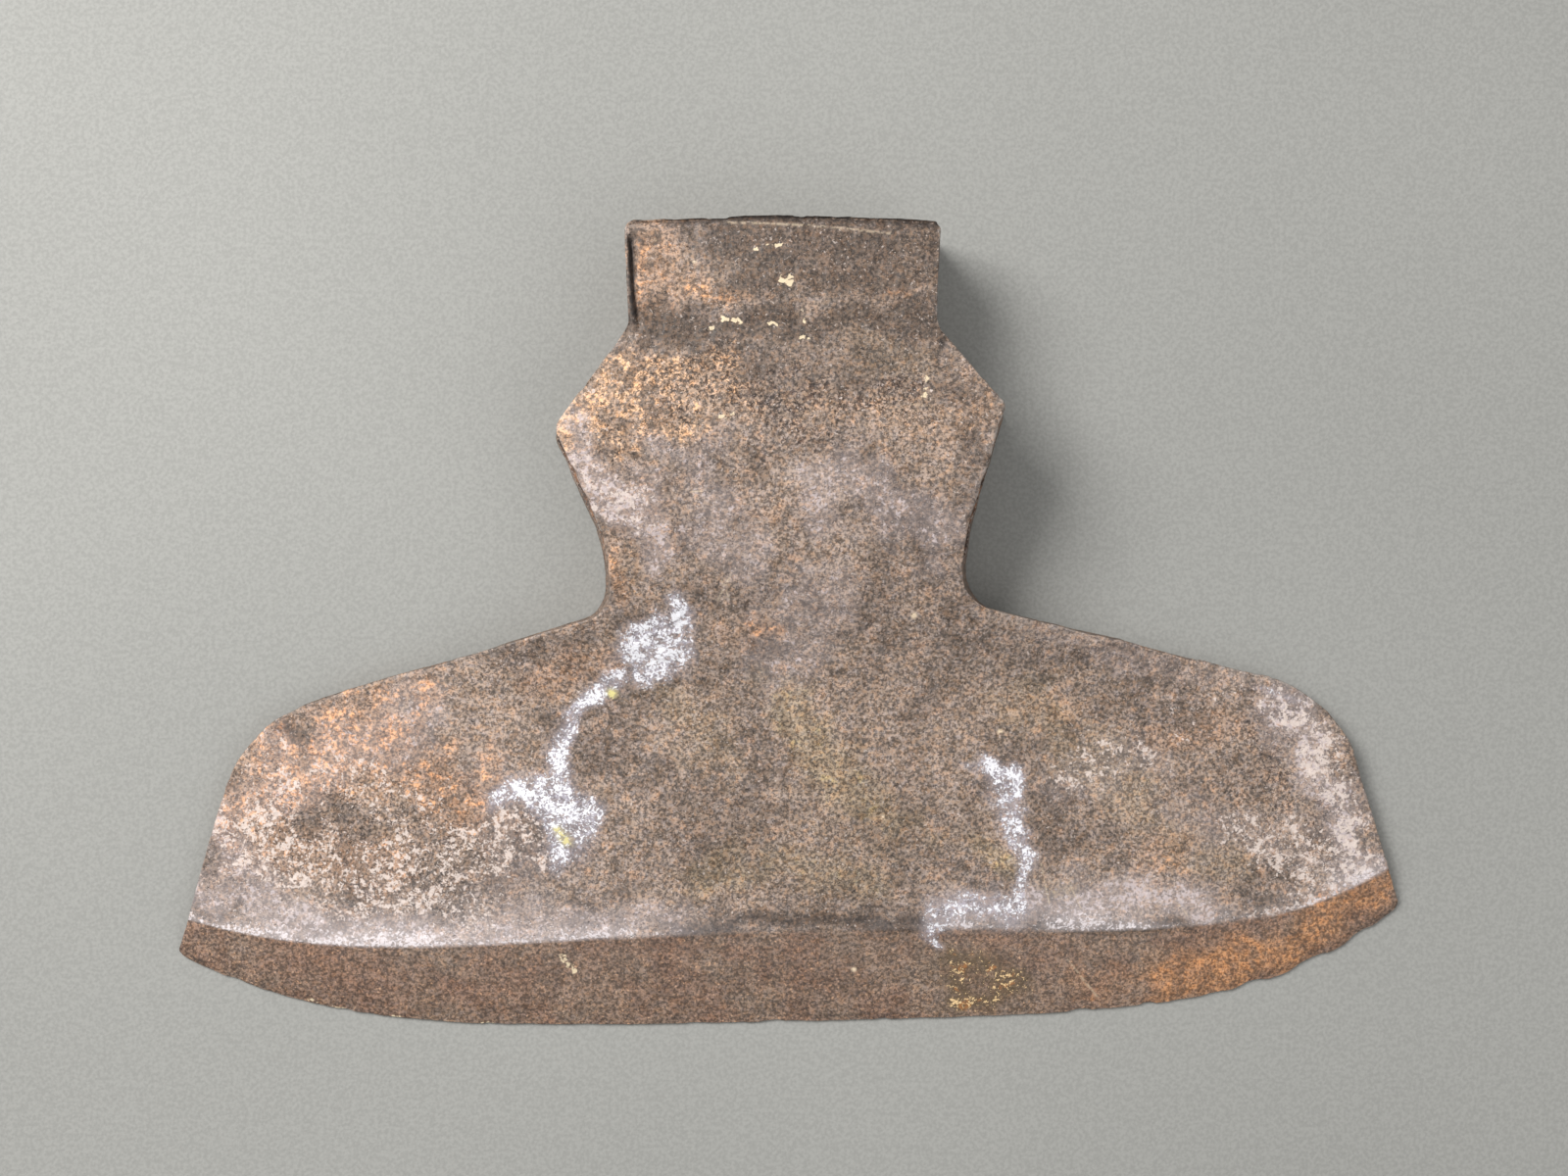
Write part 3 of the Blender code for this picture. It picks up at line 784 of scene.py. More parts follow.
def vertex_positions(mesh: bpy.types.Mesh) -> np.ndarray:
    """Every vertex's position, one row each."""
    flat = np.zeros(3 * len(mesh.vertices), dtype=np.float32)
    mesh.vertices.foreach_get("co", flat)
    return flat.reshape(-1, 3).astype(float)


def vertex_normals(mesh: bpy.types.Mesh) -> np.ndarray:
    """Every vertex's normal, one row each."""
    flat = np.zeros(3 * len(mesh.vertices), dtype=np.float32)
    mesh.vertices.foreach_get("normal", flat)
    return flat.reshape(-1, 3).astype(float)


@dataclass(frozen=True)
class Ring:
    """A loop of points round the wall, and the way that each one faces."""

    points: np.ndarray
    outwards: np.ndarray


@dataclass(frozen=True)
class Walls:
    """The wall between two outlines: its height and its arris radius at every point of the loop."""

    upper: np.ndarray
    lower: np.ndarray
    height: np.ndarray
    radius: np.ndarray

    def ring(self, level: np.ndarray, inset: np.ndarray, lean: float) -> Ring:
        """The loop at a level, moved in from the line that runs evenly from one outline to the other.

        Args:
            level: height of each point.
            inset: how far each point lies in from the wall.
            lean: the Z of the way that the points face.

        Returns:
            The ring.
        """
        up = (level / self.height)[:, None]
        flat = (1 - up) * outward_normals(self.lower) + up * outward_normals(self.upper)
        plan = (1 - up) * self.lower + up * self.upper - flat * inset[:, None]
        outwards = np.column_stack([flat * math.sqrt(1 - lean * lean), np.full(len(plan), lean)])
        return Ring(np.column_stack([plan, level]), outwards)

    def arris(self, turn: float, top: bool) -> Ring:
        """One ring of a rounded arris, by how far it has turned.

        It lies in by the radius times 1 less the sine, and down by the radius times 1 less the cosine.

        Args:
            turn: degrees turned from level towards upright.
            top: whether it is the upper arris.

        Returns:
            The ring.
        """
        sine, cosine = math.sin(math.radians(turn)), math.cos(math.radians(turn))
        rise = self.radius * (1 - cosine)
        level = self.height - rise if top else rise
        return self.ring(level, self.radius * (1 - sine), cosine if top else -cosine)

    def level(self, share: float) -> Ring:
        """A ring of the flat wall, by how far down it lies between the two arrises."""
        level = (self.height - self.radius) * (1 - share) + self.radius * share
        return self.ring(level, np.zeros(len(level)), 0.0)


@dataclass(frozen=True)
class PaleLip:
    """The pale deposit just above the bevel line: a soft band, and a crisp line at its foot."""

    stations: tuple[tuple[float, float, float], ...] = (
        (-0.155, 0.55, 0.0045),
        (-0.125, 0.95, 0.0060),
        (-0.095, 1.00, 0.0065),
        (-0.060, 0.80, 0.0065),
        (-0.035, 0.55, 0.0050),
        (-0.015, 0.22, 0.0040),
        (0.010, 0.05, 0.0030),
        (0.030, 0.25, 0.0030),
        (0.045, 0.70, 0.0045),
        (0.075, 0.85, 0.0050),
        (0.100, 0.60, 0.0040),
        (0.118, 0.25, 0.0030),
        (0.130, 0.75, 0.0040),
        (0.155, 0.60, 0.0035),
    )
    ragged_depth: float = 0.0016
    ragged_noise: Noise = Noise(0.006, 81, 3)
    soft_spread: float = 1.35
    soft_power: float = 1.3
    soft_share: float = 0.85
    crisp_width: float = 0.0017
    crisp_share: float = 0.45
    foot: Step = Step(-0.00036, 0.0006)

    def __call__(self, points: np.ndarray, above: np.ndarray) -> np.ndarray:
        """How strong it is at each point.

        Stations give its strength and its width by x, and a noise makes the height over the line ragged.

        Args:
            points: positions in the drawing frame.
            above: how far each lies above the bevel line.

        Returns:
            A share for each point.
        """
        stations = np.array(self.stations)
        strength, width = (np.interp(points[:, 0], stations[:, 0], stations[:, i]) for i in (1, 2))
        ragged = np.clip(above + self.ragged_depth * self.ragged_noise(points), 0.0, None)
        soft = np.exp(-((ragged / (self.soft_spread * width)) ** self.soft_power))
        crisp = np.exp(-((ragged / self.crisp_width) ** 2))
        return strength * (self.soft_share * soft + self.crisp_share * crisp) * self.foot(above)


@dataclass(frozen=True)
class ForgedHead:
    """The detailed head: its bare form, what forge and use did to it, and the eye cut through it."""

    form: HeadForm
    forging: Forging
    eye_rings: int = 72
    eye_points: int = 26
    eye_roughness: float = 0.00022
    eye_wave: Noise = Noise(0.012, 71, 3, 0.6)
    eye_grit: Noise = Noise(0.003, 72, 2)
    eye_grit_share: float = 0.5
    cutter_margin: float = 0.0040
    eye_arris_rounds: int = 4
    eye_arris_share: float = 0.55
    eye_arris_spread: float = 0.6
    sharp_angle: float = math.radians(38.0)
    upper_face: Step = Step(0.08, 0.30)
    off_underside: Step = Step(-0.45, 0.35)
    steep: Step = Step(0.80, -0.40)
    facing_down: Step = Step(-0.50, -0.30)
    bevel_start: Step = Step(-0.00025, 0.0005)
    off_floor: Step = Step(0.0025, 0.0030)
    worn_lean: float = 0.62
    worn_spread: float = 0.26
    least_worn: float = 0.25
    pale_lip: PaleLip = PaleLip()

    def bare_surface(self) -> Surface:
        """The closed head before its marks: a moulded top, walls with rounded edges, and a flat underside.

        The top is a grid inset by the arris radius, at the thickness of each point. Rings step down the wall:
        over the upper arris by thirds of a quarter turn, in even levels, and round the lower arris. A ring's
        plan runs evenly from the upper outline to the lower one with its height. The underside is a grid half
        as fine.
        """
        form, rows = self.form, self.form.rows
        upper = form.rim()
        edge = slice(rows.down(), rows.down() + rows.columns)
        upper[edge, 1] += self.forging.edge_loss(upper[edge, 0])
        lower = upper + np.outer(form.laps(), (1.0, 0.0))
        radius = form.arrises(border(form.heights(form.plan_grid(upper, rows))))
        upper_normals, lower_normals = outward_normals(upper), outward_normals(lower)
        plan = form.plan_grid(upper - upper_normals * radius[:, None], rows)
        z = form.heights(plan)
        rim_height = border(z)

        walls = Walls(upper, lower, rim_height, radius)
        rings = [walls.arris(turn, True) for turn in (30, 60, 90)]
        rings += [walls.level(share) for share in np.linspace(0.0, 1.0, form.wall_levels + 2)[1:-1]]
        rings += [walls.arris(turn, False) for turn in (90, 60, 30, 0)]

        inner = (lower - lower_normals * (radius + form.underside_margin)[:, None])[::2]
        below = form.plan_grid(inner, rows.halved())
        top_points = np.dstack([plan, z]).reshape(-1, 3)
        below_points = np.dstack([below, np.zeros(below.shape[:2])]).reshape(-1, 3)
        index = np.arange(z.size).reshape(z.shape)
        loops = [border(index)]
        loops += [z.size + len(upper) * i + np.arange(len(upper)) for i in range(len(rings))]
        below_start = z.size + len(upper) * len(rings)
        below_index = below_start + np.arange(len(below_points)).reshape(below.shape[:2])
        faces = grid_quads(index).tolist()
        for above_loop, below_loop in zip(loops, loops[1:]):
            faces += ring_quads(above_loop, below_loop).tolist()
        faces += halving_triangles(loops[-1], border(below_index)).tolist()
        faces += grid_quads(below_index)[:, ::-1].tolist()
        points = [top_points, *(ring.points for ring in rings), below_points]
        upwards = np.tile((0.0, 0.0, 1.0), (len(top_points), 1))
        downwards = np.tile((0.0, 0.0, -1.0), (len(below_points), 1))
        facing = [upwards, *(ring.outwards for ring in rings), downwards]
        return Surface(np.concatenate(points), np.concatenate(facing), faces)

    def shift(self, surface: Surface) -> np.ndarray:
        """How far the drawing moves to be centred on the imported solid's box and to stand on its bottom."""
        low, high = surface.vertices.min(axis=0), surface.vertices.max(axis=0)
        node_low, node_high = (np.array(corner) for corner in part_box("axe_head"))
        shift = (node_low + node_high - low - high) / 2
        shift[2] = node_low[2] - low[2]
        return shift

    def marked_surface(self, bare: Surface) -> Surface:
        """The bare surface with every point sunk by the forging's depth, and none below the flat side."""
        thickness = self.form.thickness(bare.vertices[:, 0], bare.vertices[:, 1])
        to_edge = bare.vertices[:, 1] - self.form.edge_y(bare.vertices[:, 0])
        to_bevel = self.form.bevel_y(bare.vertices[:, 0]) - self.form.edge_y(bare.vertices[:, 0])
        ground = np.clip(to_edge / np.maximum(to_bevel, 1e-4), 0.0, 1.0)
        depth = self.forging.depth(bare.vertices, bare.outwards[:, 2], thickness * ground)
        points = bare.vertices - bare.outwards * depth[:, None]
        points[:, 2] = np.clip(points[:, 2], 0.0, None)
        return replace(bare, vertices=points)

    def eye_section(self) -> np.ndarray:
        """The eye seen along the edge, as (y, z) points: round behind, level, and narrowing to the front.

        The back is a quarter of an ellipse each way, and the front a superellipse of the point power.
        """
        form = self.form
        back = form.cheek_length - form.eye_back_gap
        flat_back = back - form.eye_back_round
        flat_front = flat_back - form.eye_flat
        turn = np.linspace(0.0, math.pi / 2, self.eye_points + 1)
        power = 2 / form.eye_point_power
        level = np.linspace(0.0, 1.0, self.eye_points // 2 + 1)[1:-1]
        y = np.concatenate(
            [
                flat_back + form.eye_back_round * np.cos(turn),
                flat_back + (flat_front - flat_back) * level,
                flat_front - (flat_front - form.eye_front_gap) * np.sin(turn) ** power,
            ]
        )
        z = np.concatenate([np.sin(turn), np.ones_like(level), np.clip(np.cos(turn), 0.0, 1.0) ** power])
        z *= form.eye_height / 2
        middle = form.eye_thickness() / 2
        upper = np.stack([y, middle + z], axis=1)
        return np.concatenate([upper, np.stack([y, middle - z], axis=1)[-2:0:-1]])

    def eye_cutter(self) -> Surface:
        """A bar with the eye's section, its sides a little uneven, which runs past both ears.

        Each ring is the section moved in or out from its middle by a noise of position.
        """
        section = self.eye_section()
        reach = max(self.form.ear_side.heel, self.form.ear_side.toe) + self.form.ear_lap + self.cutter_margin
        x = np.repeat(np.linspace(-reach, reach, self.eye_rings), len(section))
        points = np.column_stack([x, np.tile(section, (self.eye_rings, 1))])
        outwards = points - np.array([0.0, section[:, 0].mean(), section[:, 1].mean()])
        outwards[:, 0] = 0.0
        outwards /= np.linalg.norm(outwards, axis=1, keepdims=True)
        rough = self.eye_wave(points) + self.eye_grit_share * self.eye_grit(points)
        points += outwards * (self.eye_roughness * rough)[:, None]
        index = np.arange(len(points)).reshape(self.eye_rings, len(section))
        around = np.roll(index, -1, axis=1)
        quads = np.stack([index[:-1], around[:-1], around[1:], index[1:]], axis=-1).reshape(-1, 4)
        caps = [index[0, ::-1].tolist(), index[-1].tolist()]
        return Surface(points, outwards, quads.tolist() + caps)

    def soften_arris(self, mesh: bpy.types.Mesh) -> None:
        """Wears the arris of the eye's mouths: its points move towards the mean of their neighbours.

        Args:
            mesh: the cut head, whose second material slot holds the eye's faces.
        """
        loops = np.zeros(len(mesh.loops), dtype=np.int64)
        mesh.loops.foreach_get("vertex_index", loops)
        slots = np.zeros(len(mesh.polygons), dtype=np.int64)
        mesh.polygons.foreach_get("material_index", slots)
        corners = np.zeros(len(mesh.polygons), dtype=np.int64)
        mesh.polygons.foreach_get("loop_total", corners)
        in_eye = np.zeros(len(mesh.vertices), dtype=bool)
        outside = np.zeros(len(mesh.vertices), dtype=bool)
        loop_slots = np.repeat(slots, corners)
        in_eye[loops[loop_slots == 1]] = True
        outside[loops[loop_slots != 1]] = True
        edges = np.zeros(2 * len(mesh.edges), dtype=np.int64)
        mesh.edges.foreach_get("vertices", edges)
        edges = edges.reshape(-1, 2)
        share = (in_eye & outside).astype(float)
        spread_share = share.copy()
        np.maximum.at(spread_share, edges[:, 0], self.eye_arris_spread * share[edges[:, 1]])
        np.maximum.at(spread_share, edges[:, 1], self.eye_arris_spread * share[edges[:, 0]])
        points = vertex_positions(mesh)
        neighbours = np.bincount(edges.ravel(), minlength=len(points))
        for _ in range(self.eye_arris_rounds):
            total = np.zeros_like(points)
            np.add.at(total, edges[:, 0], points[edges[:, 1]])
            np.add.at(total, edges[:, 1], points[edges[:, 0]])
            mean = total / neighbours[:, None]
            points += (self.eye_arris_share * spread_share)[:, None] * (mean - points)
        mesh.vertices.foreach_set("co", points.astype(np.float32).ravel())
        mesh.update()

    def cut_eye(self, head: bpy.types.Object, cutter: bpy.types.Object) -> bpy.types.Mesh:
        """The head's mesh less the cutter's shape, with the cut faces in the cutter's material."""
        modifier = head.modifiers.new("eye", "BOOLEAN")
        modifier.operation = "DIFFERENCE"
        modifier.solver = "EXACT"
        modifier.material_mode = "TRANSFER"
        modifier.object = cutter
        bpy.context.view_layer.update()
        evaluated = head.evaluated_get(bpy.context.evaluated_depsgraph_get())
        mesh = bpy.data.meshes.new_from_object(evaluated)
        head.modifiers.remove(modifier)
        return mesh

    def build(self, skin: bpy.types.Material, eye_wall: bpy.types.Material) -> bpy.types.Object:
        """Makes the head's object.

        Args:
            skin: the finish of the outside.
            eye_wall: the finish of the eye.

        Returns:
            The object, at the origin, with its place in its mesh and its paint in attributes.
        """
        bare = self.bare_surface()
        shift = self.shift(bare)
        head = bpy.data.objects.new("forged_head", self.marked_surface(bare).to_mesh("forged_head"))
        cutter = bpy.data.objects.new("eye_cutter", self.eye_cutter().to_mesh("eye_cutter"))
        for obj, material in ((head, skin), (cutter, eye_wall)):
            obj.data.materials.append(material)
            bpy.context.scene.collection.objects.link(obj)
        cut_mesh = self.cut_eye(head, cutter)
        blank, head.data = head.data, cut_mesh
        bpy.data.meshes.remove(blank)
        bpy.data.objects.remove(cutter, do_unlink=True)
        self.soften_arris(cut_mesh)
        cut_mesh.shade_smooth()
        cut_mesh.set_sharp_from_angle(angle=self.sharp_angle)
        self.paint(cut_mesh)
        points = vertex_positions(cut_mesh) + shift
        cut_mesh.vertices.foreach_set("co", points.astype(np.float32).ravel())
        cut_mesh.name = "forged_head"
        cut_mesh.update()
        return head

    def paint(self, mesh: bpy.types.Mesh) -> None:
        """Stores every brush's mask on the mesh, and masks of the ground bevel and of the worn arrises.

        Some paints run down the walls, and the others count on the upper face and its arrises only. The
        ground bevel starts on the bevel line.
        """
        points, normals = vertex_positions(mesh), vertex_normals(mesh)
        upward = normals[:, 2]
        on_top, above_ground = self.upper_face(upward), self.off_underside(upward)
        past_bevel = self.form.bevel_y(points[:, 0]) - points[:, 1]
        paint = {brush: brush.paint(points) for brush in Brush}
        rub = paint.pop(Brush.RUB)
        for brush, mask in paint.items():
            store_mask(mesh, brush.value, mask * (above_ground if brush in RUNS_DOWN else on_top))
        store_mask(mesh, "wall", above_ground * self.steep(upward))
        store_mask(mesh, "ground", self.bevel_start(past_bevel) * on_top)
        store_mask(mesh, "lip", self.pale_lip(points, -past_bevel) * on_top)
        store_mask(mesh, "underside", self.facing_down(upward))
        # the worn arrises are kept off the painted shade and the dark spots
        handled = (self.least_worn + (1 - self.least_worn) * rub) * (1 - paint[Brush.DARK_SPOTS_AND_SHADE])
        store_mask(mesh, "worn", self.worn(points[:, 2], upward) * handled)

    def worn(self, height: np.ndarray, upward: np.ndarray) -> np.ndarray:
        """Where hands rub the arrises: a bell curve of how far a point faces up, clear of the floor."""
        slanted = np.exp(-(((upward - self.worn_lean) / self.worn_spread) ** 2))
        return slanted * self.off_floor(height)


def store_mask(mesh: bpy.types.Mesh, name: str, values: np.ndarray) -> None:
    """Writes one number a vertex into a float attribute."""
    attribute = mesh.attributes.new(name, "FLOAT", "POINT")
    attribute.data.foreach_set("value", np.clip(values, 0.0, 1.0).astype(np.float32))


MM = 0.001
STROKE_DRIFT = (Noise(0.008, 91, 3, 0.6), Noise(0.008, 92, 3, 0.6))
STROKE_FULLNESS = 1.25


@dataclass(frozen=True)
class Stroke:
    """A stroke of paint along a line in plan, in millimetres of the drawing frame."""

    line: tuple[tuple[float, float], ...]
    half_width: float
    strength: float
    wander: float = 0.40

    def __call__(self, plan: np.ndarray, drift: np.ndarray) -> np.ndarray:
        """Full near the line and none past the half width, which wanders by a share of itself."""
        width = self.half_width * MM
        line = np.array(self.line if len(self.line) > 1 else self.line * 2) * MM
        distance = line_distance(plan + self.wander * width * drift, line)
        return self.strength * eased(STROKE_FULLNESS * (1.0 - distance / width))


class Brush(Enum):
    """A kind of paint on the head, by the name of its mask."""

    TAN = "tan"
    ORANGE = "orange"
    DARK = "dark"
    OLIVE = "olive"
    BLOOM = "painted_sheen"
    SPECKS = "specks"
    LIME = "lime"
    CRUST = "crust"
    CHIPS = "chips"
    PITS = "pits"
    DARK_SPOTS_AND_SHADE = "dark_spots_and_shade"
    LICHEN = "lichen"
    RUB = "rub"

    def paint(self, points: np.ndarray) -> np.ndarray:
        """The strongest of the brush's strokes at each point."""
        drift = np.column_stack([noise(points) for noise in STROKE_DRIFT])
        layers = [stroke(points[:, :2], drift) for stroke in STROKES[self]]
        return np.clip(np.max(layers, axis=0), 0.0, 1.0)


RUNS_DOWN = (Brush.TAN, Brush.ORANGE, Brush.DARK, Brush.OLIVE, Brush.PITS)

STROKES: dict[Brush, tuple[Stroke, ...]] = {
    Brush.TAN: (
        Stroke(((-30, 84), (-30, 76)), 7.5, 0.30, 0.25),
        Stroke(((-30.5, 73), (-31, 62)), 7, 0.22),
        Stroke(((-34.0, 80), (-33.5, 60)), 3, 0.42),
        Stroke(((-24, 68), (-9, 66.5)), 3.2, 0.55),
        Stroke(((-52, 36), (-36, 48), (-13, 47)), 9, 0.85),
        Stroke(((-50, 36), (-36, 33), (-20, 38)), 8, 0.75),
        Stroke(((-34, 42), (-8, 41)), 8, 0.55),
        Stroke(((-50, 30), (-38, 20), (-31, 10)), 9, 0.5),
        Stroke(((8, 41), (32, 38), (47, 37)), 7, 0.45),
        Stroke(((-41, 8), (-38, -3)), 5, 0.4),
        Stroke(((15, 64), (32, 76)), 6, 0.2),
    ),
    Brush.ORANGE: (
        Stroke(((-34, 79), (-33, 60)), 3.2, 0.8),
        Stroke(((-29, 83), (-27, 66)), 8, 0.45),
        Stroke(((-29, 79), (-25, 77)), 3, 0.6),
        Stroke(((-23, 68), (-9, 66.3)), 2, 0.75),
        Stroke(((24, 67.6), (30, 66.6)), 1.3, 0.9),
        Stroke(((-100, -34), (-126, -48), (-138, -60)), 15, 0.85),
        Stroke(((-112, -46), (-86, -50), (-75, -60)), 13, 0.7),
        Stroke(((-128, -66), (-98, -72)), 10, 0.5),
        Stroke(((-41, 4), (-39, -6)), 2.6, 0.7),
        Stroke(((-8, -13), (-1, -12)), 3, 0.65),
        Stroke(((-16, -12), (-8, -16)), 4, 0.4),
        Stroke(((-44, -20), (-62, -27)), 6, 0.5),
        Stroke(((88, -72), (100, -66)), 5, 0.45),
        Stroke(((92, -40), (112, -38)), 6, 0.4),
        Stroke(((58, -32), (74, -34)), 5, 0.3),
        Stroke(((94, -101), (110, -97), (132, -90), (148, -80)), 11, 1.0),
        Stroke(((74, -104), (88, -101)), 6, 0.35),
        Stroke(((-142, -86), (-110, -98)), 4, 0.15),
    ),
    Brush.DARK: (
        # dark scale, and painted shade: the strokes over the poll darken its whole top beyond its dark scale
        Stroke(((-15, 79), (38, 78)), 10, 0.95, 0.2),
        Stroke(((-10, 71), (38, 69)), 9, 0.95),
        Stroke(((-18, 85), (10, 84.8), (36, 83)), 2.4, 1.0),
        Stroke(((-33, 60), (36, 60)), 7, 1.0),
        Stroke(((-30, 83), (-30, 64)), 8, 0.34),
        Stroke(((-24, 53), (36, 53)), 8, 0.6),
        Stroke(((-34, 87), (-35, 84)), 2.5, 0.8),
        Stroke(((-4, 44), (16, 46)), 9, 0.45),
        Stroke(((25, 45), (36, 41)), 6, 0.35),
        Stroke(((40, 44), (50, 38), (44, 26)), 6, 0.56),
        Stroke(((-26, -87.3), (0, -85.6), (34, -85.8)), 3.0, 1.0),
        Stroke(((62, -87), (80, -87.4), (100, -87)), 2.8, 0.95),
        Stroke(((-20, -60), (10, -75), (30, -60)), 16, 0.35),
        Stroke(((62, -56), (68, -70)), 7, 0.6),
        Stroke(((38, -6), (30, 10)), 7, 0.3),
        Stroke(((-125, -39), (-119, -38)), 4, 0.7),
        Stroke(((-70, -80), (-66, -76)), 3, 0.5),
        Stroke(((-42, -74), (-40, -70)), 4, 0.4),
        Stroke(((-60, -99), (20, -103)), 5, 0.3),
    ),
    Brush.OLIVE: (
        Stroke(((4, -32), (10, -48), (25, -60)), 12, 0.7),
        Stroke(((-20, -76), (0, -70), (22, -78)), 9, 0.55),
        Stroke(((54, -71), (46, -66)), 5, 0.7),
        Stroke(((66, -77), (72, -77)), 3, 0.6),
        Stroke(((60, -30), (80, -50), (90, -60)), 10, 0.4),
        Stroke(((-30, -30), (-15, -45)), 9, 0.35),
        Stroke(((95, -64), (112, -72)), 7, 0.35),
        Stroke(((16, 56), (34, 50)), 6, 0.3),
    ),
    # painted sheen: pale lilac patches that stand in for the soft reflection of the light on the smoother
    # rust
    Brush.BLOOM: (
        Stroke(((-133, -77.5), (-121, -84), (-112, -88)), 5.5, 0.9),
        Stroke(((-147, -78), (-125, -86), (-90, -89), (-50, -87), (-28, -85)), 7.5, 0.75),
        Stroke(((-49, 28), (-37, 17), (-32, 8)), 10, 1.0),
        Stroke(((-22, 27), (-10, 5)), 12, 0.62),
        Stroke(((10, 22), (40, 12)), 12, 0.68),
        Stroke(((10, -4), (-2, -22)), 12, 0.54),
        Stroke(((-136, -58), (-112, -42), (-90, -36)), 13, 0.60),
        Stroke(((60, -80), (88, -79), (102, -80)), 8, 0.95),
        Stroke(((38, -82), (58, -84)), 5, 0.6),
        Stroke(((-143, -62), (-131, -76)), 10, 0.75),
        Stroke(((-74, -50), (-66, -70), (-66, -84)), 9, 0.32),
        Stroke(((66, -52), (92, -48)), 9, 0.4),
        Stroke(((126, -36), (138, -55), (143, -72)), 11, 1.0),
        Stroke(((100, -60), (128, -66)), 9, 0.4),
        Stroke(((112, -25), (85, -20), (58, -13)), 5, 0.3),
    ),
    Brush.SPECKS: (
        Stroke(((-139, -62), (-110, -72), (-82, -74), (-66, -66)), 16, 0.86),
        Stroke(((-132, -50), (-110, -48), (-88, -58)), 13, 0.66),
        Stroke(((-48, 26), (-36, 16)), 9, 0.76),
        Stroke(((-120, -81), (-78, -82)), 7, 0.65),
        Stroke(((126, -34), (138, -48), (143, -66), (132, -78)), 10, 0.92),
        Stroke(((113, -62), (128, -70)), 10, 0.85),
        Stroke(((70, -50), (92, -46)), 9, 0.75),
        Stroke(((99, -35), (112, -30)), 7, 0.45),
        Stroke(((62, -76), (98, -74)), 6, 0.4),
        Stroke(((117, -85), (134, -81)), 3, 0.9),
        Stroke(((-48, 38), (-20, 36)), 11, 0.35),
        Stroke(((0, 42), (46, 38)), 10, 0.3),
        Stroke(((-70, -22), (-48, -26)), 6, 0.3),
    ),
    Brush.LIME: (
        Stroke(((-26, -9.5), (-32, -12), (-37, -15)), 5.4, 1.0),
        Stroke(((-38, -18), (-28, -17), (-27, -22), (-37, -23), (-39, -19)), 6.6, 1.0),
        Stroke(((-42, -26), (-52, -33.5), (-56, -42), (-55, -51)), 4.1, 1.0),
        Stroke(((-67.5, -54.5), (-58, -55), (-51, -59)), 6.8, 1.0),
        Stroke(((-60, -57), (-54, -64), (-55.5, -69)), 6.0, 0.9),
        Stroke(((50.8, -48.4), (53.6, -54), (57.3, -64), (59.6, -68.5)), 4.6, 1.0),
        Stroke(((57.2, -48.8), (56.4, -56)), 2.8, 1.0),
        Stroke(((59.4, -70), (58.4, -76), (57.6, -81)), 2.1, 0.95),
        Stroke(((38, -85.6), (44, -83.6), (56.5, -82.4)), 5.4, 0.78),
        Stroke(((36.6, -86), (37.2, -90), (38.2, -92.5)), 1.8, 0.8),
        Stroke(((44, -46.6), (50, -47.8)), 1.1, 0.6),
        Stroke(((117, -27.6), (128, -31.5)), 1.3, 0.55),
    ),
    Brush.CRUST: (Stroke(((40, -97), (52, -96), (57, -102), (46, -108), (42, -100)), 6, 1.0),),
    Brush.CHIPS: (
        Stroke(((-15.1, 61.4), (-10.6, 60.2)), 1.1, 1.0),
        Stroke(((-18.2, 58.6), (-16.6, 59.4)), 0.9, 0.9),
        Stroke(((-3.8, 60.1), (-1.8, 59.7)), 0.9, 0.9),
        Stroke(((4.2, 63.0), (4.8, 60.4)), 0.7, 0.7),
        Stroke(((4.4, 56.6), (6.4, 56.0)), 1.3, 0.8),
        Stroke(((-7.6, 77.2), (-3.2, 78.9), (1.6, 78.1)), 0.5, 0.8),
        Stroke(((-0.7, 70.2), (1.7, 70.3), (1.0, 69.2)), 1.3, 1.0),
        Stroke(((-15, 37), (-12, 38)), 1.2, 0.8),
        Stroke(((34, 47), (33, 42)), 1.2, 0.7),
        Stroke(((-55.2, -94.2), (-53.6, -96.6), (-52.4, -99.0)), 1.5, 0.9, 0.2),
        Stroke(((-120.0, -106.8), (-117.6, -107.3)), 0.8, 0.9),
        Stroke(((-113.2, -108.3), (-111.0, -108.8)), 0.7, 0.8),
        Stroke(((-98.6, -110.7), (-95.8, -111.0)), 0.8, 0.9),
        Stroke(((-76.0, -112.2), (-72.0, -112.4)), 0.7, 0.8),
    ),
    # painted shade: a near-black strip along the poll's end chamfer and a dark line in the heel's lap
    # crevice, with fainter real dark spots and lines elsewhere
    Brush.DARK_SPOTS_AND_SHADE: (
        Stroke(((-27, 85.4), (-12, 86.5), (12, 86.5), (37, 85.0)), 3.3, 1.0, 0.12),
        Stroke(((-36.9, 80), (-36.2, 70), (-35.4, 62)), 1.4, 1.0, 0.2),
        Stroke(((-36.5, 82.5), (-34, 79)), 1.2, 0.6),
        Stroke(((-18, -86.3), (0, -85.4), (34, -85.6)), 1.4, 0.35),
        Stroke(((64, -86.8), (80, -87), (98, -86.6)), 1.2, 0.30),
        Stroke(((-125, -39), (-120, -38)), 2.4, 0.3),
        Stroke(((36, 48), (37.5, 58)), 1.2, 0.35),
        Stroke(((8, -110.6), (30, -110.4)), 1.2, 0.3),
    ),
    Brush.LICHEN: (
        Stroke(((-42.4, -28.4), (-41.4, -29.0)), 1.7, 1.0),
        Stroke(((-55.2, -63.4), (-53.4, -66.0)), 1.9, 0.8),
    ),
    Brush.RUB: (
        Stroke(((-55, 34), (-49, 22), (-43.5, 10)), 3, 0.8),
        Stroke(((52.8, 42), (50, 30), (45.5, 14)), 3, 1.0),
        Stroke(((38.3, 84), (38, 64)), 2.5, 1.0),
        Stroke(((104, -20), (128, -29.5), (138, -38)), 3, 1.0),
        Stroke(((-139, -50), (-148, -74)), 3, 0.7),
        Stroke(((-100, -30), (-70, -20)), 2.5, 0.5),
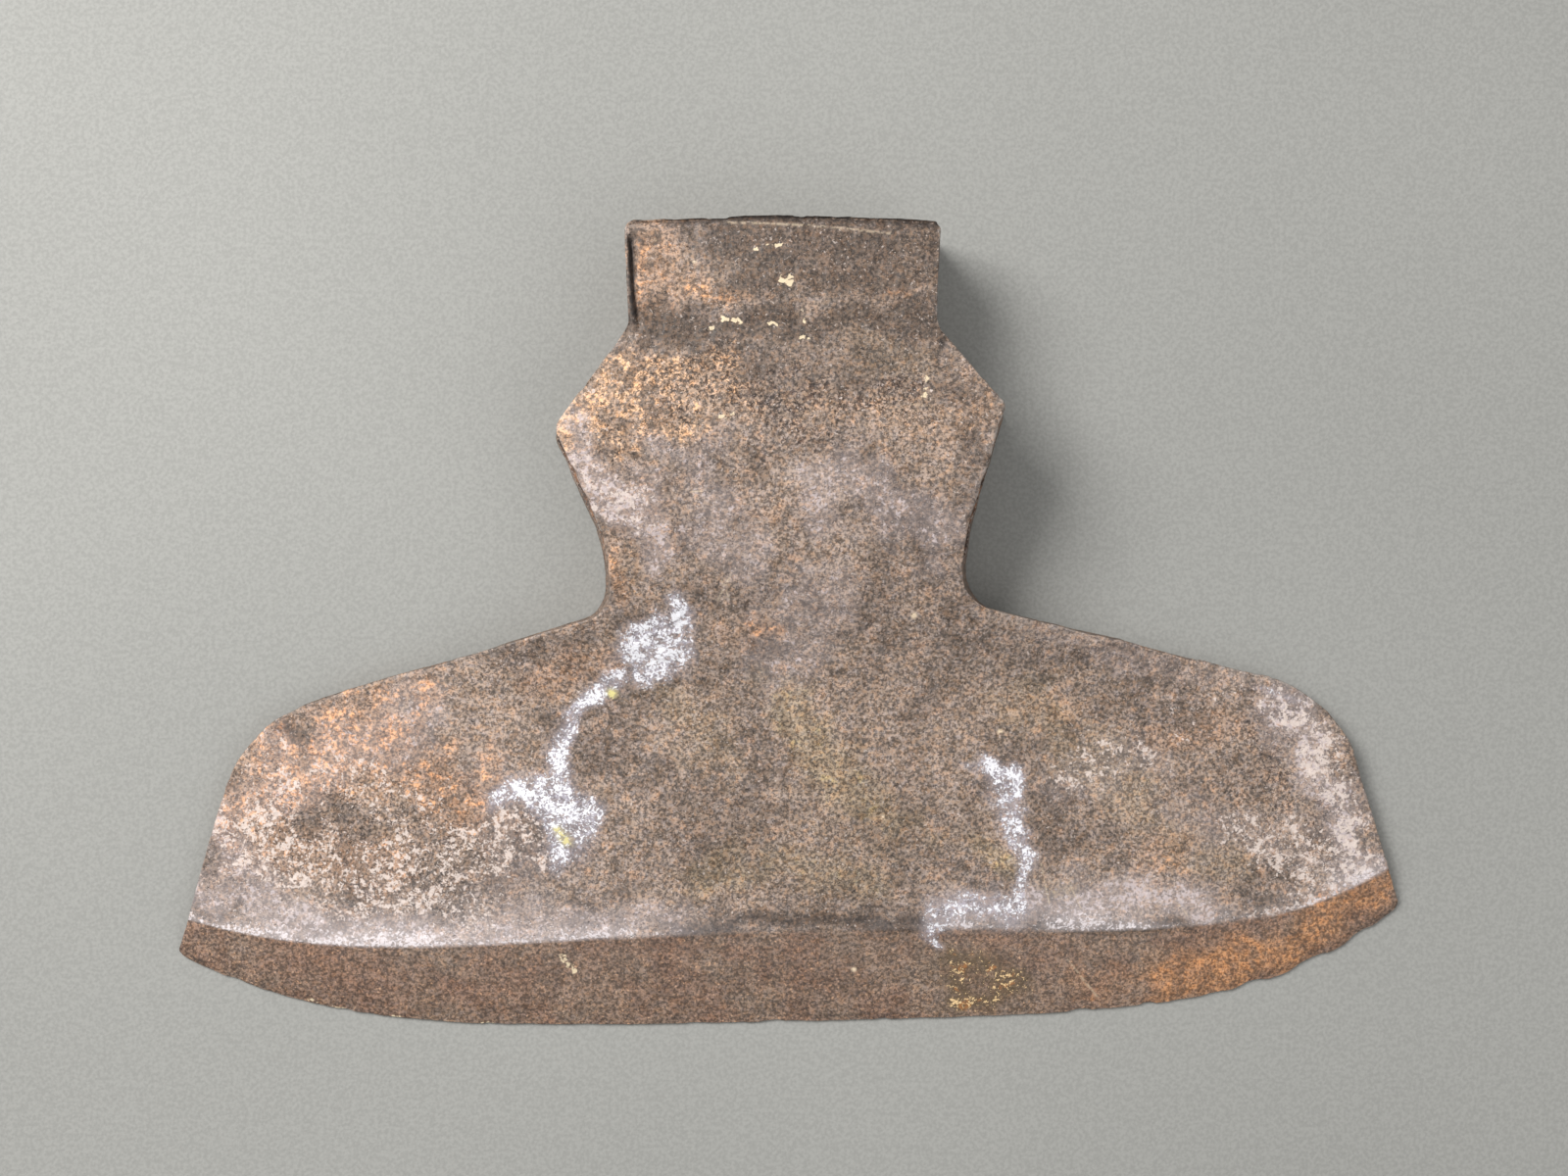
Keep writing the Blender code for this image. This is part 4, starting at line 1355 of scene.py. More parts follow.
        Stroke(((48, -9), (70, -14)), 2.5, 0.5),
        Stroke(((-38, 84), (-10, 86)), 2, 0.5),
    ),
    Brush.PITS: (
        Stroke(((-26, 47), (0, 42), (30, 42)), 11, 0.9),
        Stroke(((-42, 38), (-20, 28)), 10, 0.5),
        Stroke(((38, -98), (58, -104)), 7, 0.9),
        Stroke(((-125, -58), (-80, -70)), 15, 0.55),
        Stroke(((120, -45), (138, -70)), 10, 0.5),
    ),
}


Colour = tuple[float, float, float, float]
Place = tuple[float, float, float]
Socket = bpy.types.NodeSocket
Number = Socket | float
Vector = Socket | Place
Tint = Socket | Colour


def paint_colour(red: int, green: int, blue: int) -> Colour:
    """A colour given as it shows on a screen, from 0 to 255, as linear light with an alpha of 1."""
    shares = (channel / 255 for channel in (red, green, blue))
    linear = [s / 12.92 if s <= 0.04045 else ((s + 0.055) / 1.055) ** 2.4 for s in shares]
    return (*linear, 1.0)


@dataclass(frozen=True)
class Cloud:
    """A cloud noise with so many cells a metre, of which only the range from low to high counts."""

    scale: float
    detail: float
    roughness: float
    twist: float
    low: float
    high: float


class Wiring:
    """Adds nodes to a tree and links them."""

    def __init__(self, tree: bpy.types.NodeTree) -> None:
        """Starts on an emptied tree."""
        self.tree = tree
        self.tree.nodes.clear()

    def node(self, kind: str, inputs: dict | None = None, **settings) -> bpy.types.Node:
        """Adds a node.

        Args:
            kind: Blender's name of the node type.
            inputs: what each input takes, by its name or number: a socket to link, or a value.
            settings: the node's own properties.

        Returns:
            The node.
        """
        made = self.tree.nodes.new(kind)
        count = len(self.tree.nodes)
        made.location = (200.0 * (count // 5), -180.0 * (count % 5))
        for name, value in settings.items():
            setattr(made, name, value)
        self.feed(made, inputs or {})
        return made

    def feed(self, node: bpy.types.Node, inputs: dict) -> None:
        """Links a node's inputs to sockets, or gives them values."""
        for name, value in inputs.items():
            if isinstance(value, bpy.types.NodeSocket):
                self.tree.links.new(value, node.inputs[name])
            else:
                node.inputs[name].default_value = value

    def math(self, operation: str, a: Number, b: Number = 0.0, clamp: bool = False) -> Socket:
        """One arithmetic step on two numbers or sockets."""
        return self.node("ShaderNodeMath", {0: a, 1: b}, operation=operation, use_clamp=clamp).outputs[0]

    def vector(
        self, operation: str, a: Vector, b: Vector = (0.0, 0.0, 0.0), output: str = "Vector"
    ) -> Socket:
        """One step of vector arithmetic."""
        return self.node("ShaderNodeVectorMath", {0: a, 1: b}, operation=operation).outputs[output]

    def blend(self, share: Number, a: Tint, b: Tint, mode: str = "MIX") -> Socket:
        """Colour b over colour a by a share."""
        made = self.node("ShaderNodeMix", {0: share, 6: a, 7: b}, data_type="RGBA", blend_type=mode)
        return made.outputs[2]

    def noise(
        self, place: Socket, scale: Number, detail: float, roughness: float = 0.55, twist: float = 0.0
    ) -> Socket:
        """A cloud noise from 0 to 1, with so many cells a metre."""
        inputs = {"Vector": place, "Scale": scale, "Detail": detail, "Roughness": roughness}
        return self.node("ShaderNodeTexNoise", {**inputs, "Distortion": twist}).outputs["Fac"]

    def cloud(self, place: Socket, cloud: Cloud, to_low: float = 0.0, to_high: float = 1.0) -> Socket:
        """A cloud noise whose range that counts goes from one number to another."""
        field = self.noise(place, cloud.scale, cloud.detail, cloud.roughness, cloud.twist)
        return self.ramp(field, cloud.low, cloud.high, to_low, to_high)

    def ramp(
        self, value: Number, low: Number, high: Number, to_low: float = 0.0, to_high: float = 1.0
    ) -> Socket:
        """Takes a value between low and high to a share with level ends, between two numbers."""
        inputs = {"Value": value, "From Min": low, "From Max": high, "To Min": to_low, "To Max": to_high}
        return self.node("ShaderNodeMapRange", inputs, interpolation_type="SMOOTHSTEP").outputs["Result"]

    def mask(self, name: str) -> Socket:
        """The mask that the mesh carries under a name."""
        return self.node("ShaderNodeAttribute", attribute_name=name).outputs["Fac"]

    def group(self, tree: bpy.types.NodeTree, inputs: dict) -> bpy.types.Node:
        """Places a node group with its inputs."""
        made = self.node("ShaderNodeGroup", node_tree=tree)
        self.feed(made, inputs)
        return made


def new_group(
    name: str, inputs: dict[str, str], outputs: dict[str, str]
) -> tuple[Wiring, dict[str, Socket], bpy.types.Node]:
    """Starts a shader node group with named sockets.

    Args:
        name: the group's name.
        inputs: each input's socket type by its name.
        outputs: each output's socket type by its name.

    Returns:
        Its wiring, its input sockets by name, and its output node.
    """
    tree = bpy.data.node_groups.new(name, "ShaderNodeTree")
    for socket_name, kind in inputs.items():
        tree.interface.new_socket(name=socket_name, in_out="INPUT", socket_type=kind)
    for socket_name, kind in outputs.items():
        tree.interface.new_socket(name=socket_name, in_out="OUTPUT", socket_type=kind)
    wiring = Wiring(tree)
    given = wiring.node("NodeGroupInput")
    sockets = {socket_name: given.outputs[socket_name] for socket_name in inputs}
    return wiring, sockets, wiring.node("NodeGroupOutput")


FLOAT, VECTOR = "NodeSocketFloat", "NodeSocketVector"


@dataclass(frozen=True)
class Speckle:
    """How specks come out of a noise: its detail, and the level it is cut at."""

    detail: float = 2.0
    roughness: float = 0.62
    bare_level: float = 0.74
    level_drop: float = 0.40
    least_amount: float = 0.06

    def make_group(self) -> bpy.types.NodeTree:
        """Crisp specks: a noise cut at a level that falls as the amount rises."""
        inputs = {"Place": VECTOR, "Scale": FLOAT, "Amount": FLOAT, "Softness": FLOAT}
        wiring, given, result = new_group("ragged_specks", inputs, {"Mask": FLOAT})
        field = wiring.noise(given["Place"], given["Scale"], self.detail, self.roughness)
        drop = wiring.math("MULTIPLY", given["Amount"], self.level_drop)
        level = wiring.math("SUBTRACT", self.bare_level, drop)
        cut = wiring.ramp(field, level, wiring.math("ADD", level, given["Softness"]))
        present = wiring.ramp(given["Amount"], 0.0, self.least_amount)
        wiring.tree.links.new(wiring.math("MULTIPLY", cut, present), result.inputs["Mask"])
        return wiring.tree


@dataclass(frozen=True)
class Mottle:
    """The iron's tones as cloud noises, and how far a swirl bends the place that specks are drawn in."""

    cloud: Cloud = Cloud(62.0, 3.0, 0.60, 0.4, 0.32, 0.68)
    patch: Cloud = Cloud(270.0, 3.0, 0.65, 0.5, 0.34, 0.66)
    warm: Cloud = Cloud(640.0, 2.0, 0.70, 0.0, 0.48, 0.62)
    cool: Cloud = Cloud(730.0, 2.0, 0.70, 0.0, 0.48, 0.62)
    grain: Cloud = Cloud(1200.0, 2.0, 0.75, 0.0, 0.34, 0.66)
    swirl_scale: float = 800.0
    swirl_detail: float = 1.0
    swirl_reach: float = 0.0011

    def make_group(self) -> bpy.types.NodeTree:
        """Two sizes of cloudy tone, each about half on average, warm, cool and fine grains, and a bent place.

        The bent place is the place moved by up to half the swirl's reach, which makes specks ragged.
        """
        tones = {"Cloud": self.cloud, "Patch": self.patch, "Warm": self.warm, "Cool": self.cool}
        tones["Grain"] = self.grain
        outputs = {**dict.fromkeys(tones, FLOAT), "Bent": VECTOR}
        wiring, given, result = new_group("iron_mottle", {"Place": VECTOR}, outputs)
        for name, tone in tones.items():
            wiring.tree.links.new(wiring.cloud(given["Place"], tone), result.inputs[name])
        inputs = {"Vector": given["Place"], "Scale": self.swirl_scale, "Detail": self.swirl_detail}
        swirl = wiring.node("ShaderNodeTexNoise", inputs)
        centred = wiring.vector("SUBTRACT", swirl.outputs["Color"], (0.5, 0.5, 0.5))
        moved = wiring.vector("MULTIPLY", centred, (self.swirl_reach,) * 3)
        wiring.tree.links.new(wiring.vector("ADD", given["Place"], moved), result.inputs["Bent"])
        return wiring.tree


@dataclass(frozen=True)
class Relief:
    """The rust's own relief: grit, and small pits that a second noise cuts out of it."""

    grit_scale: float = 560.0
    grit_detail: float = 3.0
    grit_roughness: float = 0.74
    pit_scale: float = 780.0
    pit_detail: float = 1.0
    pit_roughness: float = 0.5
    bare_level: float = 0.70
    level_drop: float = 0.16
    pit_slope: float = 0.07
    pit_depth: float = 0.8

    def make_group(self) -> bpy.types.NodeTree:
        """Height of fine scale and grit, with small pits where the pitting is strong."""
        inputs = {"Place": VECTOR, "Pitting": FLOAT}
        wiring, given, result = new_group("rust_relief", inputs, {"Height": FLOAT})
        height = wiring.noise(given["Place"], self.grit_scale, self.grit_detail, self.grit_roughness)
        field = wiring.noise(given["Place"], self.pit_scale, self.pit_detail, self.pit_roughness)
        drop = wiring.math("MULTIPLY", given["Pitting"], self.level_drop)
        level = wiring.math("SUBTRACT", self.bare_level, drop)
        hole = wiring.ramp(field, level, wiring.math("ADD", level, self.pit_slope))
        deep = wiring.math("SUBTRACT", height, wiring.math("MULTIPLY", hole, self.pit_depth))
        wiring.tree.links.new(deep, result.inputs["Height"])
        return wiring.tree


def make_scratch_group() -> bpy.types.NodeTree:
    """A straight scratch from one place to another, for a place that is already flattened.

    The mask is one less the distance to the stretch over its half width, held above 0.
    """
    inputs = {"Place": VECTOR, "From": VECTOR, "To": VECTOR, "Half Width": FLOAT}
    wiring, given, result = new_group("straight_scratch", inputs, {"Mask": FLOAT})
    way = wiring.vector("SUBTRACT", given["To"], given["From"])
    gone = wiring.vector("SUBTRACT", given["Place"], given["From"])
    square = wiring.vector("DOT_PRODUCT", way, way, "Value")
    share = wiring.math("DIVIDE", wiring.vector("DOT_PRODUCT", gone, way, "Value"), square, clamp=True)
    scaled = wiring.node("ShaderNodeVectorMath", {0: way, "Scale": share}, operation="SCALE")
    miss = wiring.vector("SUBTRACT", gone, scaled.outputs["Vector"])
    miss = wiring.vector("LENGTH", miss, output="Value")
    near = wiring.math("SUBTRACT", 1.0, wiring.math("DIVIDE", miss, given["Half Width"]), clamp=True)
    wiring.tree.links.new(near, result.inputs["Mask"])
    return wiring.tree


@dataclass(frozen=True)
class Groups:
    """The node groups that the finishes share."""

    speckle: bpy.types.NodeTree
    mottle: bpy.types.NodeTree
    relief: bpy.types.NodeTree
    scratch: bpy.types.NodeTree


@dataclass(frozen=True)
class Scratch:
    """A scratch on the upper face, from one plan place to another, in millimetres of the drawing frame."""

    start: tuple[float, float]
    end: tuple[float, float]
    half_width: float
    strength: float


SCRATCHES = (
    Scratch((-16.0, -6.0), (-12.6, 0.6), 0.35, 0.9),
    Scratch((-15.0, -1.2), (-13.2, -5.6), 0.30, 0.7),
    Scratch((63.8, -71.5), (66.0, -81.5), 0.35, 0.8),
    Scratch((71.0, -76.5), (74.0, -83.0), 0.30, 0.7),
    Scratch((84.5, -70.5), (93.0, -70.9), 0.30, 0.7),
    Scratch((70.9, -96.0), (78.6, -105.5), 0.45, 0.7),
    Scratch((98.0, -81.5), (100.5, -84.5), 0.30, 0.8),
    Scratch((30.0, 40.5), (35.0, 40.0), 0.35, 0.7),
    Scratch((-22.0, 20.0), (-19.5, 20.0), 0.35, 0.8),
    Scratch((-13.7, 84.0), (8.0, 83.2), 0.50, 0.75),
    Scratch((6.0, 83.3), (25.4, 81.3), 0.50, 0.70),
    Scratch((31.4, -9.7), (31.5, -9.7), 0.95, 2.5),
    Scratch((53.4, -38.6), (53.5, -38.6), 0.95, 2.5),
    Scratch((24.6, -59.8), (24.7, -59.8), 0.85, 2.5),
    Scratch((17.4, -98.3), (17.5, -98.3), 0.85, 2.5),
    Scratch((-31.0, 79.5), (-30.9, 79.5), 0.75, 2.5),
    Scratch((-21.3, 74.6), (-21.2, 74.6), 0.70, 2.5),
)


@dataclass(frozen=True)
class Layer:
    """Ragged specks of one colour over a veil of it, both as strong as a mask of the head."""

    mask: str
    colour: Colour
    scale: float
    veil: float = 0.0
    cover: float = 0.6
    reach: float = 0.8
    base: float = 0.0
    softness: float = 0.10
    clump: float = 0.3
    rise: float = 0.0


@dataclass(frozen=True)
class Grain:
    """How much the finest grain lightens and darkens a colour, and the hue grains tint it."""

    least: float
    most: float
    hue: float
    patchiness: float = 0.17


@dataclass(frozen=True)
class Bump:
    """A bump's strength, and its depth in metres."""

    strength: float
    depth: float


class Canvas:
    """A material's colour and height as layers are laid on it, in Object coordinates."""

    def __init__(self, material: bpy.types.Material, groups: Groups) -> None:
        """Starts with the shared mottle placed, and no height."""
        self.material = material
        self.material.use_nodes = True
        self.groups = groups
        self.w = Wiring(material.node_tree)
        self.place = self.w.node("ShaderNodeTexCoord").outputs["Object"]
        self.mottle = self.w.group(groups.mottle, {"Place": self.place}).outputs
        self.ragged = self.mottle["Bent"]
        self.height: Number = 0.0

    def specks(self, scale: float, amount: Number, softness: float) -> Socket:
        """A mask of ragged specks."""
        inputs = {"Place": self.ragged, "Scale": scale, "Amount": amount, "Softness": softness}
        return self.w.group(self.groups.speckle, inputs).outputs["Mask"]

    def lay(self, colour: Socket, layer: Layer) -> Socket:
        """Lays a layer over a colour, and adds its rise to the height.

        The specks' amount is the mask times the layer's reach, more or less by its clump as the patches go,
        plus its base.

        Args:
            colour: what lies below.
            layer: the layer, whose mask may be empty for one that covers everything.

        Returns:
            The new colour.
        """
        w = self.w
        mask = w.mask(layer.mask) if layer.mask else 0.0
        drift = w.ramp(self.mottle["Patch"], 0.0, 1.0, 1 - layer.clump, 1 + layer.clump)
        amount = w.math("MULTIPLY", w.math("MULTIPLY", mask, layer.reach), drift)
        specks = self.specks(layer.scale, w.math("ADD", amount, layer.base), layer.softness)
        veil = w.math("MULTIPLY", mask, layer.veil)
        share = w.math("ADD", veil, w.math("MULTIPLY", specks, layer.cover), clamp=True)
        if layer.rise:
            self.height = w.math("ADD", self.height, w.math("MULTIPLY", share, layer.rise))
        return w.blend(share, colour, layer.colour)

    def grained(self, colour: Socket, grain: Grain) -> Socket:
        """A colour made lighter and darker by the finest grain, and warmer and cooler by the hue grains."""
        w = self.w
        colour = w.blend(w.math("MULTIPLY", self.mottle["Warm"], grain.hue), colour, WARM_TINT, "MULTIPLY")
        colour = w.blend(w.math("MULTIPLY", self.mottle["Cool"], grain.hue), colour, COOL_TINT, "MULTIPLY")
        factor = w.ramp(self.mottle["Grain"], 0.0, 1.0, grain.least, grain.most)
        patches = w.ramp(self.mottle["Patch"], 0.0, 1.0, 1 - grain.patchiness, 1 + grain.patchiness)
        factor = w.math("MULTIPLY", factor, patches)
        grey = w.node("ShaderNodeCombineColor", {0: factor, 1: factor, 2: factor}).outputs[0]
        return w.blend(1.0, colour, grey, "MULTIPLY")

    def relief(self, pitting: Number) -> Socket:
        """Height of the rust itself."""
        return self.w.group(self.groups.relief, {"Place": self.place, "Pitting": pitting}).outputs["Height"]

    def finish(self, inputs: dict, height: Socket, bump: Bump) -> bpy.types.Material:
        """Ends in a shader with a bump.

        Args:
            inputs: the shader's other inputs.
            height: what the bump reads.
            bump: how strong and deep it is.

        Returns:
            The material.
        """
        relief = {"Strength": bump.strength, "Distance": bump.depth, "Height": height}
        normal = self.w.node("ShaderNodeBump", relief).outputs["Normal"]
        shader = self.w.node("ShaderNodeBsdfPrincipled", {**inputs, "Normal": normal})
        self.w.node("ShaderNodeOutputMaterial", {"Surface": shader.outputs["BSDF"]})
        return self.material


WARM_TINT = (1.22, 1.03, 0.83, 1.0)
COOL_TINT = (0.86, 0.96, 1.14, 1.0)
PIT_DARK = paint_colour(62, 49, 43)
# dark scale colour, also laid as painted shade over the poll and on the underside
SCALE_AND_SHADE_DARK = paint_colour(71, 58, 48)
SPECK = paint_colour(214, 200, 192)
LIME_WHITE = paint_colour(234, 235, 241)
GROUND_RUST = paint_colour(168, 122, 84)
CRUST_CREAM = paint_colour(234, 202, 152)


@dataclass(frozen=True)
class ForgedIron:
    """The finish of the outside: brown forged iron, rust, lime, handling wear and the ground bevel, with
    painted sheen and painted shade.
    """

    deep_brown: Colour = paint_colour(100, 85, 74)
    mid_brown: Colour = paint_colour(146, 127, 112)
    grey_brown: Colour = paint_colour(130, 117, 110)
    grey_share: float = 0.55
    bright_iron: Colour = paint_colour(200, 192, 186)
    scratch: Colour = paint_colour(220, 200, 172)
    scratch_share: float = 0.6
    scratch_breaks: Cloud = Cloud(700.0, 2.0, 0.7, 0.0, 0.38, 0.56)
    ground_brown: Colour = paint_colour(124, 107, 94)
    ground_red: Colour = paint_colour(118, 94, 80)
    skin_grain: Grain = Grain(0.46, 1.60, 0.64)
    bevel_grain: Grain = Grain(0.50, 1.44, 0.5)
    wear: Cloud = Cloud(520.0, 3.0, 0.65, 0.0, 0.40, 0.56)
    wear_share: float = 0.75
    worn_polish: float = 0.25
    worn_metallic: float = 0.6
    underside_shade: float = 0.40
    smoothest: float = 0.52
    roughest: float = 0.74
    specular: float = 0.45
    layer_rise: float = 0.6
    ground_flatness: float = 0.50
    bump: Bump = Bump(0.9, 0.00028)
    skin_layers: tuple[Layer, ...] = (
        Layer("", paint_colour(172, 130, 94), 270.0, 0.0, 0.24, 0.0, 0.46, 0.14),
        Layer("olive", paint_colour(150, 132, 90), 420.0, 0.34, 0.45, softness=0.25),
        Layer("tan", paint_colour(196, 158, 124), 620.0, 0.26, 0.58, 0.85, softness=0.12, clump=0.5),
        Layer("orange", paint_colour(194, 142, 100), 560.0, 0.26, 0.56, 0.75, softness=0.16, clump=0.5),
        # dark scale, with painted shade over the poll where the dark strokes are strongest
        Layer("dark", SCALE_AND_SHADE_DARK, 800.0, 0.66, 0.28, 0.90, softness=0.20, clump=0.2),
        Layer("wall", SCALE_AND_SHADE_DARK, 260.0, 0.22, 0.45, 0.62, softness=0.20, clump=0.5),
        Layer("wall", paint_colour(150, 108, 78), 190.0, 0.0, 0.45, 0.44, softness=0.14, clump=0.3),
        Layer("pits", PIT_DARK, 1100.0, 0.0, 0.80, 0.30, 0.25, 0.06, 0.4, -0.6),
        Layer("pits", PIT_DARK, 620.0, 0.0, 0.80, 0.42, softness=0.05, clump=0.3),
        Layer("underside", SCALE_AND_SHADE_DARK, 110.0, 0.0, 0.55, 0.62, softness=0.22, clump=0.5),
        Layer("underside", paint_colour(168, 118, 80), 150.0, 0.0, 0.60, 0.42, softness=0.16, clump=0.5),
    )
    pale_layers: tuple[Layer, ...] = (
        # painted sheen: pale lilac colour where the light's reflection would show
        Layer("painted_sheen", paint_colour(202, 190, 192), 900.0, 0.24, 0.52, 0.66, softness=0.12),
        Layer("specks", SPECK, 660.0, 0.0, 0.80, 0.50, softness=0.05, clump=0.45),
        Layer("specks", SPECK, 1150.0, 0.0, 0.75, 0.50, softness=0.06),
        Layer("", SPECK, 1250.0, 0.0, 0.50, 0.0, 0.28, 0.08),
    )
    bevel_layers: tuple[Layer, ...] = (
        Layer("orange", GROUND_RUST, 480.0, 0.50, 0.40, 0.80, softness=0.20),
        Layer("dark", SCALE_AND_SHADE_DARK, 600.0, 0.55, 0.30, 0.80, softness=0.20),
        Layer("", paint_colour(186, 150, 120), 1950.0, 0.0, 0.66, 0.0, 0.35, 0.08),
        Layer("", PIT_DARK, 1750.0, 0.0, 0.72, 0.0, 0.33, 0.07),
    )
    over_layers: tuple[Layer, ...] = (
        # near-black painted shade on the poll's end chamfer and in the heel crevice, and some real dark spots
        # and lines elsewhere
        Layer("dark_spots_and_shade", paint_colour(33, 27, 25), 700.0, 0.86, 0.20, 0.90, softness=0.20),
        Layer("lip", paint_colour(228, 221, 224), 1250.0, 0.30, 0.62, 0.78, softness=0.14, clump=0.15),
        Layer("crust", paint_colour(92, 76, 56), 500.0, 0.60, 0.25, 0.90, softness=0.20),
        Layer("crust", paint_colour(176, 116, 62), 430.0, 0.0, 0.62, 0.50, softness=0.20, clump=0.3),
        Layer("crust", CRUST_CREAM, 1400.0, 0.0, 0.95, 0.41, softness=0.06, clump=0.4, rise=0.5),
        Layer("lime", paint_colour(172, 168, 180), 900.0, 0.40, 0.48, 0.80, softness=0.14, clump=0.3),
        Layer("lime", LIME_WHITE, 1450.0, 0.0, 0.94, 0.72, softness=0.09, clump=0.30, rise=0.5),
        Layer("chips", paint_colour(222, 204, 172), 760.0, 0.0, 0.92, 1.0, softness=0.08, clump=0.2),
        Layer("lichen", paint_colour(222, 212, 142), 900.0, 0.4, 0.55, 1.0, softness=0.10),
    )

    def build(self, groups: Groups, shift: np.ndarray) -> bpy.types.Material:
        """Makes the material.

        Args:
            groups: the shared node groups.
            shift: how far the head was moved from its drawing frame, for the scratches.

        Returns:
            The material, which reads Object coordinates and the head's masks.
        """
        canvas = Canvas(bpy.data.materials.new("forged_iron"), groups)
        w, mottle = canvas.w, canvas.mottle
        ground = w.mask("ground")
        skin = w.blend(mottle["Cloud"], self.deep_brown, self.mid_brown)
        skin = w.blend(w.math("MULTIPLY", mottle["Patch"], self.grey_share), skin, self.grey_brown)
        for layer in self.skin_layers:
            skin = canvas.lay(skin, layer)
        bevel = w.blend(mottle["Cloud"], self.ground_red, self.ground_brown)
        for layer in self.bevel_layers:
            bevel = canvas.lay(bevel, layer)
        skin, bevel = canvas.grained(skin, self.skin_grain), canvas.grained(bevel, self.bevel_grain)
        for layer in self.pale_layers:
            skin = canvas.lay(skin, layer)
        colour = w.blend(ground, skin, bevel)
        for layer in self.over_layers:
            colour = canvas.lay(colour, layer)

        scratched = self.scratches(canvas, shift)
        colour = w.blend(w.math("MULTIPLY", scratched, self.scratch_share), colour, self.scratch)
        rub = w.cloud(canvas.place, self.wear)
        bare = w.math("MULTIPLY", w.math("MULTIPLY", w.mask("worn"), rub), self.wear_share)
        colour = w.blend(bare, colour, self.bright_iron)
        # painted shade: the faces that look down are darkened towards the dark scale colour
        shade = w.math("MULTIPLY", w.mask("underside"), self.underside_shade)
        colour = w.blend(shade, colour, SCALE_AND_SHADE_DARK)

        rough = w.ramp(mottle["Grain"], 0.0, 1.0, self.smoothest, self.roughest)
        rough = w.math("SUBTRACT", rough, w.math("MULTIPLY", bare, self.worn_polish), clamp=True)
        raised = w.math("MULTIPLY", canvas.height, self.layer_rise)
        height = w.math("ADD", canvas.relief(w.mask("pits")), raised)
        flattened = w.math("SUBTRACT", 1.0, w.math("MULTIPLY", ground, self.ground_flatness))
        height = w.math("MULTIPLY", height, flattened)
        inputs = {
            "Base Color": colour,
            "Roughness": rough,
            "Metallic": w.math("MULTIPLY", bare, self.worn_metallic),
            "Specular IOR Level": self.specular,
        }
        return canvas.finish(inputs, height, self.bump)

    def scratches(self, canvas: Canvas, shift: np.ndarray) -> Socket:
        """All scratches as one mask: the strongest at each point, broken by a noise."""
        w = canvas.w
        total: Number = 0.0
        flat = w.vector("MULTIPLY", canvas.place, (1.0, 1.0, 0.0))
        for scratch in SCRATCHES:
            ends = (scratch.start, scratch.end)
            start, end = ((x * MM + shift[0], y * MM + shift[1], 0.0) for x, y in ends)
            inputs = {"Place": flat, "From": start, "To": end, "Half Width": scratch.half_width * MM}
            mask = w.group(canvas.groups.scratch, inputs).outputs["Mask"]
            total = w.math("MAXIMUM", total, w.math("MULTIPLY", mask, scratch.strength))
        return w.math("MULTIPLY", total, w.cloud(canvas.place, self.scratch_breaks))


@dataclass(frozen=True)
class EyeWall:
    """The finish inside the eye: dark scale that no hand rubs, with brown rust in patches."""

    scale_dark: Colour = paint_colour(74, 60, 53)
    rust: Colour = paint_colour(122, 92, 72)
    dust: Layer = Layer("", paint_colour(150, 134, 120), 700.0, 0.0, 0.5, 0.0, 0.40, 0.10)
    pits: Layer = Layer("", PIT_DARK, 900.0, 0.0, 0.7, 0.0, 0.32, 0.08, 0.3, -0.5)
    grain: Grain = Grain(0.7, 1.3, 0.6)
    smoothest: float = 0.62
    roughest: float = 0.85
    pitting: float = 0.4
    bump: Bump = Bump(0.8, 0.0003)

    def build(self, groups: Groups) -> bpy.types.Material:
        """Makes the material, which reads Object coordinates."""
        canvas = Canvas(bpy.data.materials.new("eye_wall_scale"), groups)
        w, mottle = canvas.w, canvas.mottle
        colour = w.blend(mottle["Patch"], self.scale_dark, self.rust)
        for layer in (self.dust, self.pits):
            colour = canvas.lay(colour, layer)
        colour = canvas.grained(colour, self.grain)
        rough = w.ramp(mottle["Grain"], 0.0, 1.0, self.smoothest, self.roughest)
        height = w.math("ADD", canvas.relief(self.pitting), canvas.height)
        return canvas.finish({"Base Color": colour, "Roughness": rough}, height, self.bump)


